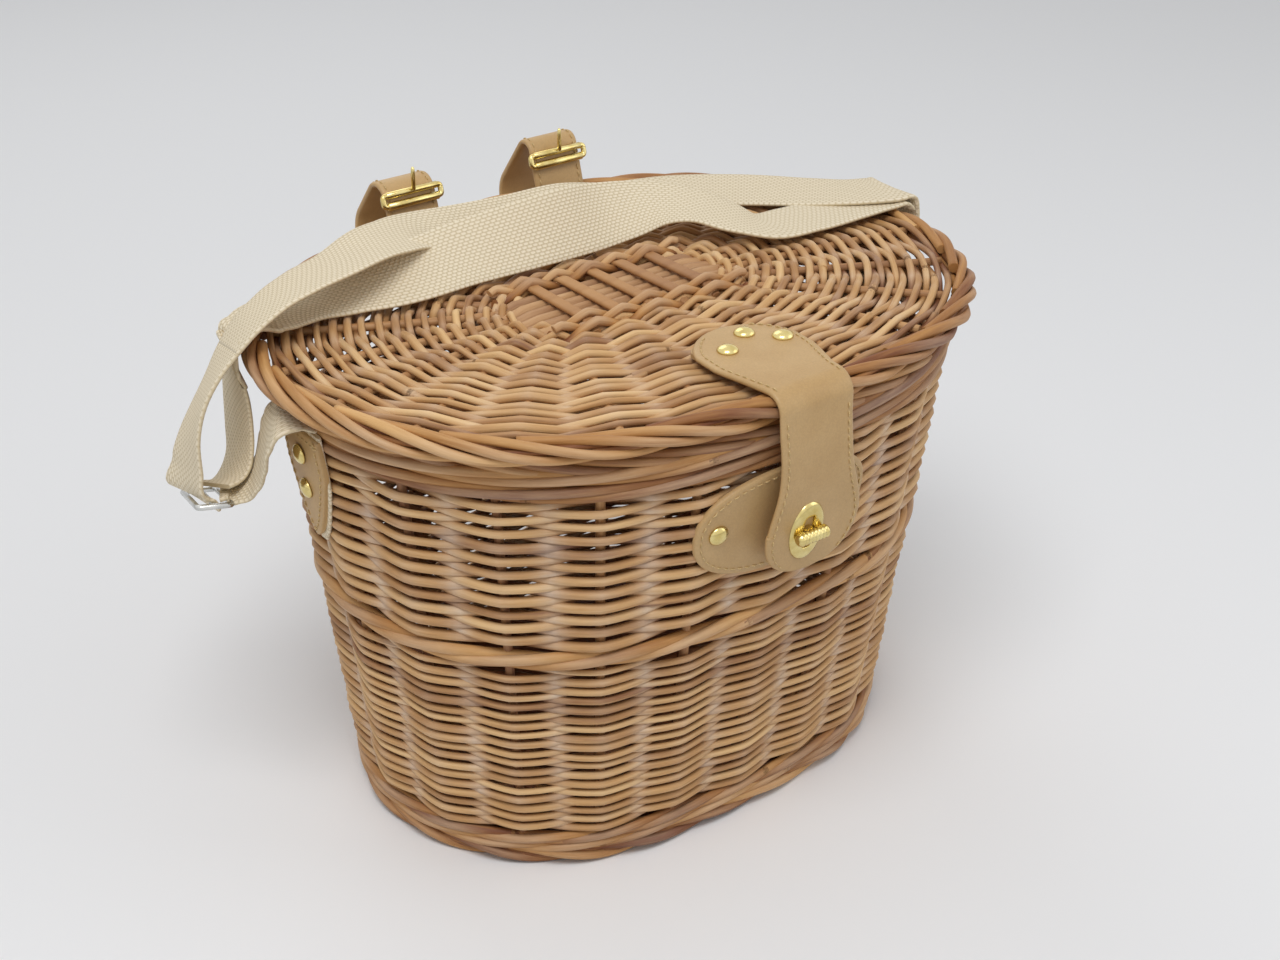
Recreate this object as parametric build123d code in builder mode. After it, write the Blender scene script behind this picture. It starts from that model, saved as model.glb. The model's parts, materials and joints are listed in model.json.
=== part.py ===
from build123d import *
from math import atan2, cos, degrees, hypot, pi, radians, sin
import os

os.makedirs("parts", exist_ok=True)

# An oval willow basket with a lid. All sizes are in millimetres.
# The origin is the middle of the base on the floor, +X runs along the basket, -Y is its front, +Z is up.

# Side of the basket: half sizes and end radius of its outer face at the floor and at the rim
base_half_length = 150.0
base_half_width = 107.5
base_end_radius = 105.0
rim_half_length = 177.0
rim_half_width = 143.5
rim_end_radius = 141.0
rim_height = 237.0
wall = 8.0

# Bands of the side, from the floor up
foot_rod_radius = 4.8
foot_flat = 0.5
foot_overhang = 1.2
base_panel_thickness = 8.0
bottom_wale_rods = 2
bottom_wale_rod = 5.4
middle_wale_bottom = 129.5
middle_wale_height = 9.4
middle_wale_bulge = 2.2
rim_gap = 2.6
top_wale_rods = 4
top_wale_rod = 6.85
wale_bulge = 1.2
border_rod_radius = 3.0

# Upright stakes
stake_count = 21
side_facets = 52
stake_radius = 2.2
stake_start = 0.2663

# Sticks under the base panel
base_stick_count = 3
base_stick_radius = 3.2
base_stick_pitch = 42.0
base_stick_end_gap = 10.0
base_stick_curve = 0.25

# Lid: half sizes of the middle line of its border
lid_half_length = 188.7
lid_half_width = 144.6
lid_front_end_radius = 139.0
lid_back_end_radius = 136.0
lid_border_radius = 7.5
lid_rise = 19.3
lid_thickness = 9.0
lid_crown = 1.2
centre_window_half_length = 56.0
centre_window_half_width = 20.5
centre_rod_count = 6
centre_rod_radius = 3.1
cross_stick_count = 5
cross_stick_width = 8.0
cross_stick_thickness = 2.6
cross_stick_length = 58.0
spoke_count = 20
spoke_radius = 2.4
spoke_length = 52.0
spoke_start = 14.0
spoke_spread = 1.55

# Straps that hinge the lid and go round a handlebar
left_strap_x = -41.0
right_strap_x = 54.5
strap_width = 32.0
leather = 2.8
hinge_loop_radius = 18.6
left_loop_top = (-4.5, 24.0)
left_loop_top_radius = 7.0
right_loop_top = (-6.0, 31.0)
right_loop_top_radius = 4.5
buckle_wire = 1.6
buckle_depth = 13.0
buckle_side_gap = 1.2
left_buckle_share = 0.76
right_buckle_share = 0.68
prong_radius = 1.1
prong_length = 13.0
prong_barrel = 3.6
prong_facets = 8

# Clasp: a leather tongue that hooks over a turn lock
clasp_x = -3.0
lock_below_rim = 45.5
clasp_neck_width = 44.0
clasp_tail_width = 58.0
clasp_tail_below_lock = 24.0
clasp_head_length = 66.0
clasp_head_width = 60.0
clasp_gap = 6.6
clasp_bend = 30.0
clasp_neck_low = 34.0
clasp_neck_flare = 0.8
clasp_shoulder = 2.0
clasp_fold_gap = 0.6
clasp_head_widest = 0.55
head_rivet_spots = ((-14.0, 46.0), (6.0, 57.0), (19.0, 42.0))
lining_corner = 8.0
patch_x = -8.0
patch_length = 104.0
patch_height = 50.0
patch_rivet_reach = 39.0
patch_above_lock = 6.0
lock_base_thickness = 1.2
lock_base_half_width = 6.4
lock_base_half_height = 12.0
post_radius = 2.6
post_clearance = 1.2
eyelet_half_height = 15.0
eyelet_half_width = 8.0
eyelet_slot_half_height = 10.0
eyelet_slot_half_width = 3.4
eyelet_thickness = 1.4
knob_length = 19.0
knob_radius = 3.2
knob_lower_thickness = 2.2
knob_upper_thickness = 1.8
knob_step = 2.4
rivet_radius = 4.2
rivet_height = 2.0
rivet_crown_radius = 2.8
rivet_facets = 12

# End tabs and cotton webbing
tab_y = 8.0
tab_width = 38.0
tab_below_rim = 2.0
tab_length = 59.0
tab_point_length = 20.0
webbing_width = 38.0
webbing_thickness = 2.0
webbing_tail_length = 8.0
webbing_over_tab = 2.0
tab_rivet_drops = (13.0, 32.0)

# Slide buckle
slider_centre = (-210.0, 45.0, -70.0)
slider_length = 47.0
slider_depth = 19.0
slider_wire = 1.6
slider_corner = 3.0

# Clearances
fit = 0.3
running = 0.1
half_turn = 180.0
stake_clearance = 0.5

# Sizes that follow from those above
foot_centre = foot_rod_radius - foot_flat
foot_top = foot_centre + foot_rod_radius
bottom_wale_top = foot_top + bottom_wale_rods * bottom_wale_rod
middle_wale_top = middle_wale_bottom + middle_wale_height
top_wale_top = rim_height - rim_gap
top_wale_bottom = top_wale_top - top_wale_rods * top_wale_rod
trim_standoff = wale_bulge + fit
lock_height = rim_height - lock_below_rim
tab_top = rim_height - tab_below_rim
tab_point = tab_top - tab_length
tab_shoulder = tab_point + tab_point_length
webbing_tail = tab_point - webbing_tail_length
lid_centre_height = rim_height + lid_rise
lid_top = lid_centre_height + lid_thickness / 2 + lid_crown
lid_bottom = lid_top - lid_thickness
border_rod_height = lid_centre_height - lid_border_radius - fit - border_rod_radius
hinge_y = lid_half_width
hinge_z = lid_centre_height
centre_rod_pitch = 2 * centre_window_half_width / centre_rod_count
window_corner = 0.45 * centre_window_half_width


def oval(half_length, half_width, front_end, back_end):
    """Draws a closed oval of tangent arcs in the active BuildLine, from its right end to the back."""
    for side, end in ((1, back_end), (-1, front_end)):
        inset = half_length - end
        flat = (inset**2 + half_width**2 - end**2) / (2 * (half_width - end))
        turn = degrees(atan2(flat - half_width, inset))
        start = 0 if side > 0 else half_turn
        CenterArc((side * inset, 0), end, start, turn)
        CenterArc((0, side * (half_width - flat)), flat, start + turn, half_turn - 2 * turn)
        CenterArc((-side * inset, 0), end, start + half_turn - turn, turn)


def side_sizes(height, grow=0.0):
    """Half length, half width and end radius of the side's outer face at a height, grown outwards."""
    share = height / rim_height
    length = base_half_length + (rim_half_length - base_half_length) * share + grow
    width = base_half_width + (rim_half_width - base_half_width) * share + grow
    end = base_end_radius + (rim_end_radius - base_end_radius) * share + grow
    return length, width, end


def side_line(height, grow=0.0):
    length, width, end = side_sizes(height, grow)
    with BuildLine(Plane.XY.offset(height)) as line:
        oval(length, width, end, end)
    return line.wires()[0]


def faceted(line, height):
    """A flat face whose outline has side_facets corners, evenly spaced along a closed line."""
    corners = [line @ (i / side_facets) for i in range(side_facets)]
    with BuildSketch(Plane.XY.offset(height)) as face:
        with BuildLine():
            Polyline([(corner.X, corner.Y) for corner in corners], close=True)
        make_face()
    return face.sketch


def side_face(height, grow=0.0):
    return faceted(side_line(height, grow), height)


def lid_face(height, grow=0.0):
    with BuildLine(Plane.XY.offset(height)) as line:
        oval(
            lid_half_length + grow,
            lid_half_width + grow,
            lid_front_end_radius + grow,
            lid_back_end_radius + grow,
        )
    return faceted(line.wires()[0], height)


def rod_ring(face_at, centre_height, grow, radius, section_sides):
    """A rod bent into a ring. face_at(height, grow) gives the ring's plan, and grow its middle line."""
    half = section_sides // 2
    with BuildPart() as ring:
        for side, mode in ((1, Mode.ADD), (-1, Mode.SUBTRACT)):
            for i in range(half):
                angle = pi * ((i + 0.5) / half - 0.5)
                height = centre_height + radius * sin(angle)
                add(face_at(height, grow + side * radius * cos(angle)))
            loft(ruled=True, mode=mode)
    return ring


def side_shell(bottom, top, outer, inner):
    """A band of the side between two heights, its outer and inner faces grown from the side's face."""
    with BuildPart() as shell:
        add(side_face(bottom, outer))
        add(side_face(top, outer))
        loft(ruled=True)
        add(side_face(bottom, inner))
        add(side_face(top, inner))
        loft(ruled=True, mode=Mode.SUBTRACT)
    return shell


def save(piece, name):
    piece.part.label = name
    export_step(piece.part, f"parts/{name}.step")


def front_plane(height, x=0.0, grow=0.0):
    """A plane on the front of the side, its Z straight out of the curved face and its Y up the face."""
    lean = atan2(rim_half_width - base_half_width, rim_height)
    length, width, end = side_sizes(height, grow)
    flat = ((length - end) ** 2 + width**2 - end**2) / (2 * (width - end))
    turn = atan2(x, (flat**2 - x**2) ** 0.5)
    return Plane(
        origin=(x, flat - width - flat * cos(turn), height),
        x_dir=(cos(turn), sin(turn), 0),
        z_dir=(sin(turn) * cos(lean), -cos(turn) * cos(lean), -sin(lean)),
    )


def end_plane(height, side, y=tab_y, grow=0.0):
    """A plane on the left (-1) or right (1) end of the side, its Z out of the face and its Y up."""
    lean = atan2(rim_half_length - base_half_length, rim_height)
    length, _, end = side_sizes(height, grow)
    turn = atan2(y, (end**2 - y**2) ** 0.5)
    return Plane(
        origin=(side * (length - end + end * cos(turn)), y, height),
        x_dir=(-sin(turn), side * cos(turn), 0),
        z_dir=(side * cos(turn) * cos(lean), sin(turn) * cos(lean), -sin(lean)),
    )


def wale(bottom, rods, rod, bulge):
    """Thick rods one above another, woven as a band of the side that stands a little proud of it."""
    top = bottom + rods * rod
    with BuildPart() as ring:
        for i in range(rods):
            low = bottom + i * rod
            add(side_face(low, 0))
            add(side_face(low + 0.3 * rod, bulge))
            add(side_face(low + 0.7 * rod, bulge))
        add(side_face(top, 0))
        loft(ruled=True)
        add(side_face(bottom, -wall))
        add(side_face(top, -wall))
        loft(ruled=True, mode=Mode.SUBTRACT)
    return ring


# Foot border: a thick rod round the base, cut flat where the basket stands
foot_ring = rod_ring(side_face, foot_centre, foot_overhang - foot_rod_radius, foot_rod_radius, 10)
with BuildPart() as foot_border:
    add(foot_ring.part)
    split(bisect_by=Plane.XY, keep=Keep.TOP)
save(foot_border, "foot_border")

# Base panel: the woven floor, inside the side and level with the foot border's top
panel_grow = -wall - fit
with BuildPart() as base_panel:
    add(side_face(foot_top, panel_grow))
    extrude(amount=base_panel_thickness)
save(base_panel, "base_panel")

# Base sticks: thick sticks under the panel, along the basket
with BuildPart() as base_sticks:
    for row in range(base_stick_count):
        y = (row - (base_stick_count - 1) / 2) * base_stick_pitch
        reach = base_half_length - 2 * foot_rod_radius - base_stick_end_gap - abs(y) * base_stick_curve
        with BuildSketch(Plane.YZ.offset(-reach)):
            with Locations((y, foot_top - base_stick_radius)):
                RegularPolygon(base_stick_radius, 8, rotation=22.5, major_radius=False)
        extrude(amount=2 * reach)
save(base_sticks, "base_sticks")

# Weave and wales of the side
bottom_wale = wale(foot_top, bottom_wale_rods, bottom_wale_rod, wale_bulge)
save(bottom_wale, "bottom_wale")
lower_side_weave = side_shell(bottom_wale_top, middle_wale_bottom, 0, -wall)
save(lower_side_weave, "lower_side_weave")

middle_wale = wale(middle_wale_bottom, 1, middle_wale_height, middle_wale_bulge)
save(middle_wale, "middle_wale")

upper_side_weave = side_shell(middle_wale_top, top_wale_bottom, 0, -wall)
save(upper_side_weave, "upper_side_weave")
top_wale = wale(top_wale_bottom, top_wale_rods, top_wale_rod, wale_bulge)
save(top_wale, "top_wale")

# Top border: the rod on the rim, which the hinge straps pass under
top_border = rod_ring(side_face, border_rod_height, -wall / 2, border_rod_radius, 8)
save(top_border, "top_border")

# Stakes: uprights along the inside of the side, from the base panel to the rod on the rim
stake_grow = -wall - stake_radius - stake_clearance
stake_bottom = foot_top + base_panel_thickness + 2 * fit
stake_top = border_rod_height - border_rod_radius - 2 * fit
stake_foot_line = side_line(stake_bottom, stake_grow)
stake_head_line = side_line(stake_top, stake_grow)
with BuildPart() as stakes:
    for i in range(stake_count):
        share = (stake_start + i / stake_count) % 1
        foot = stake_foot_line @ share
        head = stake_head_line @ share
        with BuildSketch(Plane(origin=foot, z_dir=head - foot)):
            RegularPolygon(stake_radius, 6)
        extrude(amount=(head - foot).length)
save(stakes, "stakes")

# Lid border: a thick plaited ring
lid_border = rod_ring(lid_face, lid_centre_height, 0.0, lid_border_radius, 12)
save(lid_border, "lid_border")


def lid_window():
    with BuildSketch(Plane.XY.offset(lid_bottom)) as window:
        Rectangle(2 * centre_window_half_length, 2 * centre_window_half_width)
        chamfer(window.vertices(), window_corner)
    return window.sketch


# Lid weave: an oval plate with an open middle, and a slot for the front run of each hinge strap
plate_grow = -lid_border_radius - running
front_run = hinge_loop_radius + leather
slot_front = hinge_y - front_run - 1.0
slot_depth = leather + 3.2
with BuildPart() as lid_weave:
    add(lid_face(lid_bottom, plate_grow))
    extrude(amount=lid_thickness)
    add(lid_window())
    extrude(amount=lid_thickness, mode=Mode.SUBTRACT)
    with BuildSketch(Plane.XY.offset(lid_bottom)):
        with Locations(
            (left_strap_x, slot_front + slot_depth / 2),
            (right_strap_x, slot_front + slot_depth / 2),
        ):
            Rectangle(strap_width + 2 * fit, slot_depth)
    extrude(amount=lid_thickness, mode=Mode.SUBTRACT)
save(lid_weave, "lid_weave")

# Lid centre rods: bare rods side by side in the window
rod_level = lid_bottom + lid_thickness / 2
with BuildPart() as lid_centre_rods:
    for row in range(centre_rod_count):
        y = (row - (centre_rod_count - 1) / 2) * centre_rod_pitch
        cut = abs(y) + centre_rod_radius - (centre_window_half_width - window_corner)
        reach = centre_window_half_length - fit - max(0, cut)
        with BuildSketch(Plane.YZ.offset(-reach)):
            with Locations((y, rod_level)):
                RegularPolygon(centre_rod_radius, 10)
        extrude(amount=2 * reach)
save(lid_centre_rods, "lid_centre_rods")

# Lid cross sticks: split sticks across the top of those rods, with their ends on the weave
stick_pitch = 2 * centre_window_half_length / (cross_stick_count + 1)
with BuildPart() as lid_cross_sticks:
    for row in range(cross_stick_count):
        x = (row - (cross_stick_count - 1) / 2) * stick_pitch
        with BuildSketch(Plane.XZ.offset(-cross_stick_length / 2)):
            with BuildLine():
                Polyline(
                    (x - cross_stick_width / 2, lid_top + fit),
                    (x + cross_stick_width / 2, lid_top + fit),
                    (x + 0.3 * cross_stick_width, lid_top + fit + cross_stick_thickness),
                    (x - 0.3 * cross_stick_width, lid_top + fit + cross_stick_thickness),
                    close=True,
                )
            make_face()
        extrude(amount=cross_stick_length)
save(lid_cross_sticks, "lid_cross_sticks")

# Lid spokes: ribs under the lid that fan out from its middle
with BuildPart() as lid_spokes:
    for i in range(spoke_count):
        angle = 360 * (i + 0.5) / spoke_count
        x = (centre_window_half_length + spoke_start) * cos(radians(angle))
        y = (centre_window_half_width + spoke_start) * sin(radians(angle))
        heading = atan2(y * spoke_spread, x)
        across = Vector(-sin(heading), cos(heading), 0)
        with BuildSketch(
            Plane(
                origin=(x, y, lid_bottom),
                x_dir=across,
                z_dir=(cos(heading), sin(heading), 0),
            )
        ):
            with BuildLine():
                Polyline(
                    (-spoke_radius, -running),
                    (spoke_radius, -running),
                    (0.5 * spoke_radius, -spoke_radius),
                    (-0.5 * spoke_radius, -spoke_radius),
                    close=True,
                )
            make_face()
        extrude(amount=spoke_length)
save(lid_spokes, "lid_spokes")


def strap_normals(top, top_radius):
    """Directions (radians, in the YZ plane) that the strap's front run and back run face."""
    turn = atan2(top[1], top[0])
    shrink = hinge_loop_radius - top_radius
    spread = atan2((hypot(*top) ** 2 - shrink**2) ** 0.5, shrink)
    return turn + spread, turn - spread


def belt(x, top, top_radius, thickness):
    """A loop of two arcs and their tangents, on the strap's left side."""
    front, back = strap_normals(top, top_radius)
    with BuildSketch(Plane.YZ.offset(x - strap_width / 2)) as outline:
        with BuildLine():
            low = CenterArc(
                (hinge_y, hinge_z),
                hinge_loop_radius + thickness,
                degrees(front),
                360 - degrees(front - back),
            )
            high = CenterArc(
                (hinge_y + top[0], hinge_z + top[1]),
                top_radius + thickness,
                degrees(back),
                degrees(front - back),
            )
            Line(low @ 1, high @ 0)
            Line(high @ 1, low @ 0)
        make_face()
    return outline.sketch


def hinge_strap(x, top, top_radius):
    """A closed leather loop round the lid's border and the rod on the rim."""
    with BuildPart() as strap:
        add(belt(x, top, top_radius, leather))
        extrude(amount=strap_width, dir=(1, 0, 0))
        add(belt(x, top, top_radius, 0))
        extrude(amount=strap_width, dir=(1, 0, 0), mode=Mode.SUBTRACT)
    return strap


def buckle_plane(x, top, top_radius, share):
    """On the front run, a share of the way up: X along the roller, Y up the strap, Z out of the leather."""
    front, _ = strap_normals(top, top_radius)
    face = Vector(0, cos(front), sin(front))
    low = Vector(x, hinge_y, hinge_z) + face * (hinge_loop_radius + leather + fit)
    high = Vector(x, hinge_y + top[0], hinge_z + top[1]) + face * (top_radius + leather + fit)
    return Plane(origin=low + (high - low) * share, x_dir=(1, 0, 0), z_dir=face)


buckle_half_width = strap_width / 2 + buckle_wire + buckle_side_gap


def buckle_frame(plane):
    """A wire frame flat on the strap."""
    with BuildPart() as frame:
        with BuildSketch(plane):
            Rectangle(2 * (buckle_half_width + buckle_wire), buckle_depth + 2 * buckle_wire)
            Rectangle(2 * buckle_half_width - buckle_wire, buckle_depth - buckle_wire, mode=Mode.SUBTRACT)
        extrude(amount=2 * buckle_wire)
        fillet(frame.edges().filter_by(Axis(plane.origin, plane.z_dir)), 0.6 * buckle_wire)
    return frame


def buckle_prong(plane):
    """A round pin that stands on the frame's upper bar, with a short barrel that it swings on."""
    level = 2 * buckle_wire + running + prong_radius
    pivot = plane.origin + plane.y_dir * (buckle_depth / 2 + buckle_wire / 4) + plane.z_dir * level
    with BuildPart() as prong:
        with BuildSketch(Plane(origin=pivot - Vector(prong_barrel / 2, 0, 0), z_dir=(1, 0, 0))):
            Circle(prong_radius)
        extrude(amount=prong_barrel)
        with BuildSketch(Plane(origin=pivot, z_dir=(0, 0, 1))):
            RegularPolygon(prong_radius, prong_facets)
        extrude(amount=prong_length)
    return prong


for side, x, top, top_radius, share in (
    ("left", left_strap_x, left_loop_top, left_loop_top_radius, left_buckle_share),
    ("right", right_strap_x, right_loop_top, right_loop_top_radius, right_buckle_share),
):
    save(hinge_strap(x, top, top_radius), f"hinge_strap_{side}")
    plane = buckle_plane(x, top, top_radius, share)
    save(buckle_frame(plane), f"buckle_frame_{side}")
    save(buckle_prong(plane), f"buckle_prong_{side}")


def wall_patch(outline, inner, outer, bottom, top):
    """A sheet that hugs the side between two growths, cut to an outline that is already a solid."""
    with BuildPart() as sheet:
        add(side_face(bottom, outer))
        add(side_face(top, outer))
        loft(ruled=True)
        add(side_face(bottom, inner))
        add(side_face(top, inner))
        loft(ruled=True, mode=Mode.SUBTRACT)
        add(outline, mode=Mode.INTERSECT)
    return sheet


# Clasp backing: an eye-shaped leather patch on the side, behind the turn lock
patch_plane = front_plane(lock_height + patch_above_lock, patch_x)
with BuildPart() as patch_outline:
    with BuildSketch(patch_plane.offset(-20)):
        with BuildLine():
            bulge = ThreePointArc((-patch_length / 2, 0), (0, patch_height / 2), (patch_length / 2, 0))
            mirror(bulge, about=Plane.XZ)
        make_face()
    extrude(amount=40)
clasp_backing = wall_patch(
    patch_outline.part,
    trim_standoff,
    trim_standoff + leather,
    lock_height - patch_height,
    lock_height + patch_height,
)
save(clasp_backing, "clasp_backing")


def rivets(planes):
    """Rivet heads, each a flange with a narrower crown, one on each plane."""
    with BuildPart() as heads:
        for plane in planes:
            with BuildSketch(plane):
                RegularPolygon(rivet_radius, rivet_facets)
            extrude(amount=rivet_height / 2)
            with BuildSketch(plane.offset(rivet_height / 2)):
                RegularPolygon(rivet_crown_radius, rivet_facets)
            extrude(amount=rivet_height / 2)
    return heads


patch_grow = trim_standoff + leather + fit
patch_spots = [patch_x - patch_rivet_reach, patch_x + patch_rivet_reach]
backing_rivets = rivets([front_plane(lock_height + patch_above_lock, x, patch_grow) for x in patch_spots])
save(backing_rivets, "backing_rivets")

# Turn lock: a base plate on the backing, its post, and the knob that turns on the post
lock_face = front_plane(lock_height, clasp_x, trim_standoff + leather + fit)
post_height = clasp_gap + leather + eyelet_thickness + post_clearance
with BuildPart() as turn_lock_base:
    with BuildSketch(lock_face):
        Ellipse(lock_base_half_width, lock_base_half_height)
    extrude(amount=lock_base_thickness)
    with BuildSketch(lock_face):
        Circle(post_radius)
    extrude(amount=post_height)
save(turn_lock_base, "turn_lock_base")

knob_face = lock_face.offset(post_height + running)
with BuildPart() as turn_knob:
    with BuildSketch(knob_face):
        SlotOverall(knob_length, 2 * knob_radius)
    extrude(amount=knob_lower_thickness)
    with BuildSketch(knob_face.offset(knob_lower_thickness)):
        SlotOverall(knob_length - knob_step, 2 * knob_radius - knob_step)
    extrude(amount=knob_upper_thickness)
save(turn_knob, "turn_knob")

# Clasp tail: it hangs from the fold over the lid's border, level with the post's middle
fold_inner = lid_border_radius + clasp_fold_gap
fold_outer = fold_inner + leather
fold_centre_y = -lid_half_width
tail_plane = lock_face.offset(clasp_gap)
tail_low = clasp_tail_below_lock
with BuildPart() as tail_profile:
    with BuildSketch(Plane.YZ.offset(clasp_x - clasp_tail_width)):
        with BuildLine():
            low = tail_plane.origin - tail_plane.y_dir * (tail_low + 1)
            out = tail_plane.z_dir * leather
            fold_front = fold_centre_y - fold_inner
            bend = tail_plane.origin + tail_plane.y_dir * clasp_bend
            Polyline(
                (low.Y, low.Z),
                (bend.Y, bend.Z),
                (fold_front, lid_centre_height),
                (fold_front - leather, lid_centre_height),
                (bend.Y + out.Y, bend.Z + out.Z),
                (low.Y + out.Y, low.Z + out.Z),
                close=True,
            )
        make_face()
    extrude(amount=2 * clasp_tail_width)
neck_top = lid_centre_height - lock_height + lid_border_radius
with BuildPart() as clasp_tail:
    with BuildSketch(tail_plane.offset(-30)):
        with BuildLine():
            right = Spline(
                (clasp_neck_width / 2, neck_top),
                (clasp_neck_width / 2 + clasp_neck_flare, clasp_neck_low),
                (clasp_tail_width / 2, clasp_shoulder),
                tangents=((0, -1), (0.05, -1)),
            )
            cap = ThreePointArc(right @ 1, (0, -tail_low), (-clasp_tail_width / 2, clasp_shoulder))
            left = Spline(
                (-clasp_tail_width / 2, clasp_shoulder),
                (-clasp_neck_width / 2 - clasp_neck_flare, clasp_neck_low),
                (-clasp_neck_width / 2, neck_top),
                tangents=((0.05, 1), (0, 1)),
            )
            Line(left @ 1, right @ 0)
        make_face()
        Ellipse(eyelet_slot_half_width, eyelet_slot_half_height, mode=Mode.SUBTRACT)
    extrude(amount=60)
    add(tail_profile.part, mode=Mode.INTERSECT)
save(clasp_tail, "clasp_tail")

# Eyelet plate: the brass oval round the slot in the tongue
with BuildPart() as eyelet_plate:
    with BuildSketch(tail_plane.offset(leather + fit)):
        Ellipse(eyelet_half_width, eyelet_half_height)
        Ellipse(eyelet_slot_half_width, eyelet_slot_half_height, mode=Mode.SUBTRACT)
    extrude(amount=eyelet_thickness)
save(eyelet_plate, "eyelet_plate")

# Clasp fold: the quarter turn of leather over the lid's border
with BuildPart() as clasp_fold:
    with BuildSketch(Plane.YZ.offset(clasp_x - clasp_neck_width / 2)):
        with Locations((fold_centre_y, lid_centre_height)):
            Circle(fold_outer)
            Circle(fold_inner, mode=Mode.SUBTRACT)
        with Locations((fold_centre_y - fold_outer / 2, lid_centre_height + fold_outer / 2)):
            Rectangle(fold_outer, fold_outer, mode=Mode.INTERSECT)
    extrude(amount=clasp_neck_width)
save(clasp_fold, "clasp_fold")

# Clasp head: the rounded end of the tongue, riveted on the lid
head_bottom = lid_centre_height + fold_inner
with BuildPart() as clasp_head:
    with BuildSketch(Plane.XY.offset(head_bottom)):
        with BuildLine():
            start = (clasp_x - clasp_neck_width / 2, fold_centre_y)
            stop = (clasp_x + clasp_neck_width / 2, fold_centre_y)
            near = fold_centre_y + clasp_head_widest * clasp_head_length
            half = clasp_head_width / 2
            left_side = Line(start, (clasp_x - half, near))
            tip = (clasp_x, fold_centre_y + clasp_head_length)
            crown = ThreePointArc(left_side @ 1, tip, (clasp_x + half, near))
            Line(crown @ 1, stop)
            Line(stop, start)
        make_face()
    extrude(amount=leather)
save(clasp_head, "clasp_head")

head_top = head_bottom + leather
clasp_rivets = rivets(
    [Plane(origin=(clasp_x + x, fold_centre_y + back, head_top + running)) for x, back in head_rivet_spots]
)
save(clasp_rivets, "clasp_rivets")

# Clasp lining: a second layer of leather between the tongue's head and the weave
with BuildPart() as clasp_head_lining:
    with BuildSketch(Plane.XY.offset(lid_top + running)):
        with Locations((clasp_x, fold_centre_y + 0.62 * clasp_head_length)):
            RectangleRounded(0.72 * clasp_head_width, 0.6 * clasp_head_length, lining_corner)
    extrude(amount=head_bottom - lid_top - 2 * running)
save(clasp_head_lining, "clasp_head_lining")


def end_tab(side):
    """The leather shield on the left or right end, over the webbing that it clamps."""
    plane = end_plane((tab_top + tab_point) / 2, side)
    middle = (tab_top + tab_point) / 2
    with BuildPart() as outline:
        with BuildSketch(plane.offset(-15)):
            with BuildLine():
                Polyline(
                    (-tab_width / 2, tab_top - middle),
                    (tab_width / 2, tab_top - middle),
                    (tab_width / 2, tab_shoulder - middle),
                    (0, tab_point - middle),
                    (-tab_width / 2, tab_shoulder - middle),
                    close=True,
                )
            make_face()
        extrude(amount=30)
    inner = trim_standoff + webbing_thickness + fit
    return wall_patch(outline.part, inner, inner + leather, tab_point - 10, tab_top + 10)


def clamped_webbing(side):
    """The end of the webbing between the leather tab and the side."""
    plane = end_plane((tab_top + webbing_tail) / 2, side)
    with BuildPart() as outline:
        with BuildSketch(plane.offset(-15)):
            Rectangle(webbing_width, tab_top + webbing_over_tab - webbing_tail)
        extrude(amount=30)
    inner = trim_standoff
    return wall_patch(outline.part, inner, inner + webbing_thickness, webbing_tail - 10, tab_top + 10)


def tab_rivets(side):
    grow = trim_standoff + webbing_thickness + leather + 2 * fit
    return rivets([end_plane(tab_top - drop, side, tab_y, grow) for drop in tab_rivet_drops])


for side, name in ((-1, "left"), (1, "right")):
    save(end_tab(side), f"end_tab_{name}")
    save(clamped_webbing(side), f"tab_webbing_{name}")
    save(tab_rivets(side), f"tab_rivets_{name}")


def webbing(stations):
    """A band of webbing. A station is its middle, with its height above the lid, and the way across the band.
    Some also give the way along it."""
    points = [Vector(*station[0]) + Vector(0, 0, lid_top) for station in stations]
    planes = []
    for i, station in enumerate(stations):
        if len(station) > 2:
            along = Vector(*station[2])
        else:
            along = points[min(i + 1, len(points) - 1)] - points[max(i - 1, 0)]
        along = along.normalized()
        width = Vector(*station[1])
        width = width - along * width.dot(along)
        planes.append(Plane(origin=points[i], x_dir=width, z_dir=along))
    rings = []
    for plane in planes:
        across = plane.x_dir * (webbing_width / 2)
        through = plane.y_dir * (webbing_thickness / 2)
        middle = plane.origin
        rings.append(
            [middle - across - through, middle + across - through]
            + [middle + across + through, middle - across + through]
        )
    first, last = rings[0], rings[-1]
    corners = [(first[0], first[2], first[1]), (first[0], first[3], first[2])]
    corners += [(last[0], last[1], last[2]), (last[0], last[2], last[3])]
    for near, far in zip(rings, rings[1:]):
        for i in range(4):
            j = (i + 1) % 4
            corners += [(near[i], near[j], far[j]), (near[i], far[j], far[i])]
    with BuildPart() as band:
        add(Solid(Shell([Face(Wire.make_polygon(three)) for three in corners])))
    return band


flat = (0, 1, 0)
left_rim = (0.3, 0.95, 0)
up = (0, 0, 1)
down = (0, 0, -1)
front_band = webbing(
    [
        ((-191.5, 50, -3.5), left_rim, up),
        ((-190.6, 50, 1), left_rim),
        ((-186, 50, 3.7), left_rim),
        ((-176, 51, 3.4), (0.1, 0.99, 0)),
        ((-140, 58, 2.8), (-0.05, 1, 0)),
        ((-80, 63, 2), flat),
        ((-20, 61, 2.6), flat),
        ((20, 60, 6.5), flat),
        ((50, 57, 15), (0.28, 0.96, 0.05)),
        ((72, 45, 18), (0.64, 0.77, 0.1)),
        ((90, 24, 11.5), (0.7, 0.72, 0.05)),
        ((106, 12, 4), (0.35, 0.94, 0)),
        ((130, 9, 3.2), flat),
        ((165, 9, 3), flat),
        ((186, 9, 3.1), flat),
        ((196, 9, 2.6), flat),
        ((199.9, 9, -1), flat, down),
    ]
)
save(front_band, "webbing_front")

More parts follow.
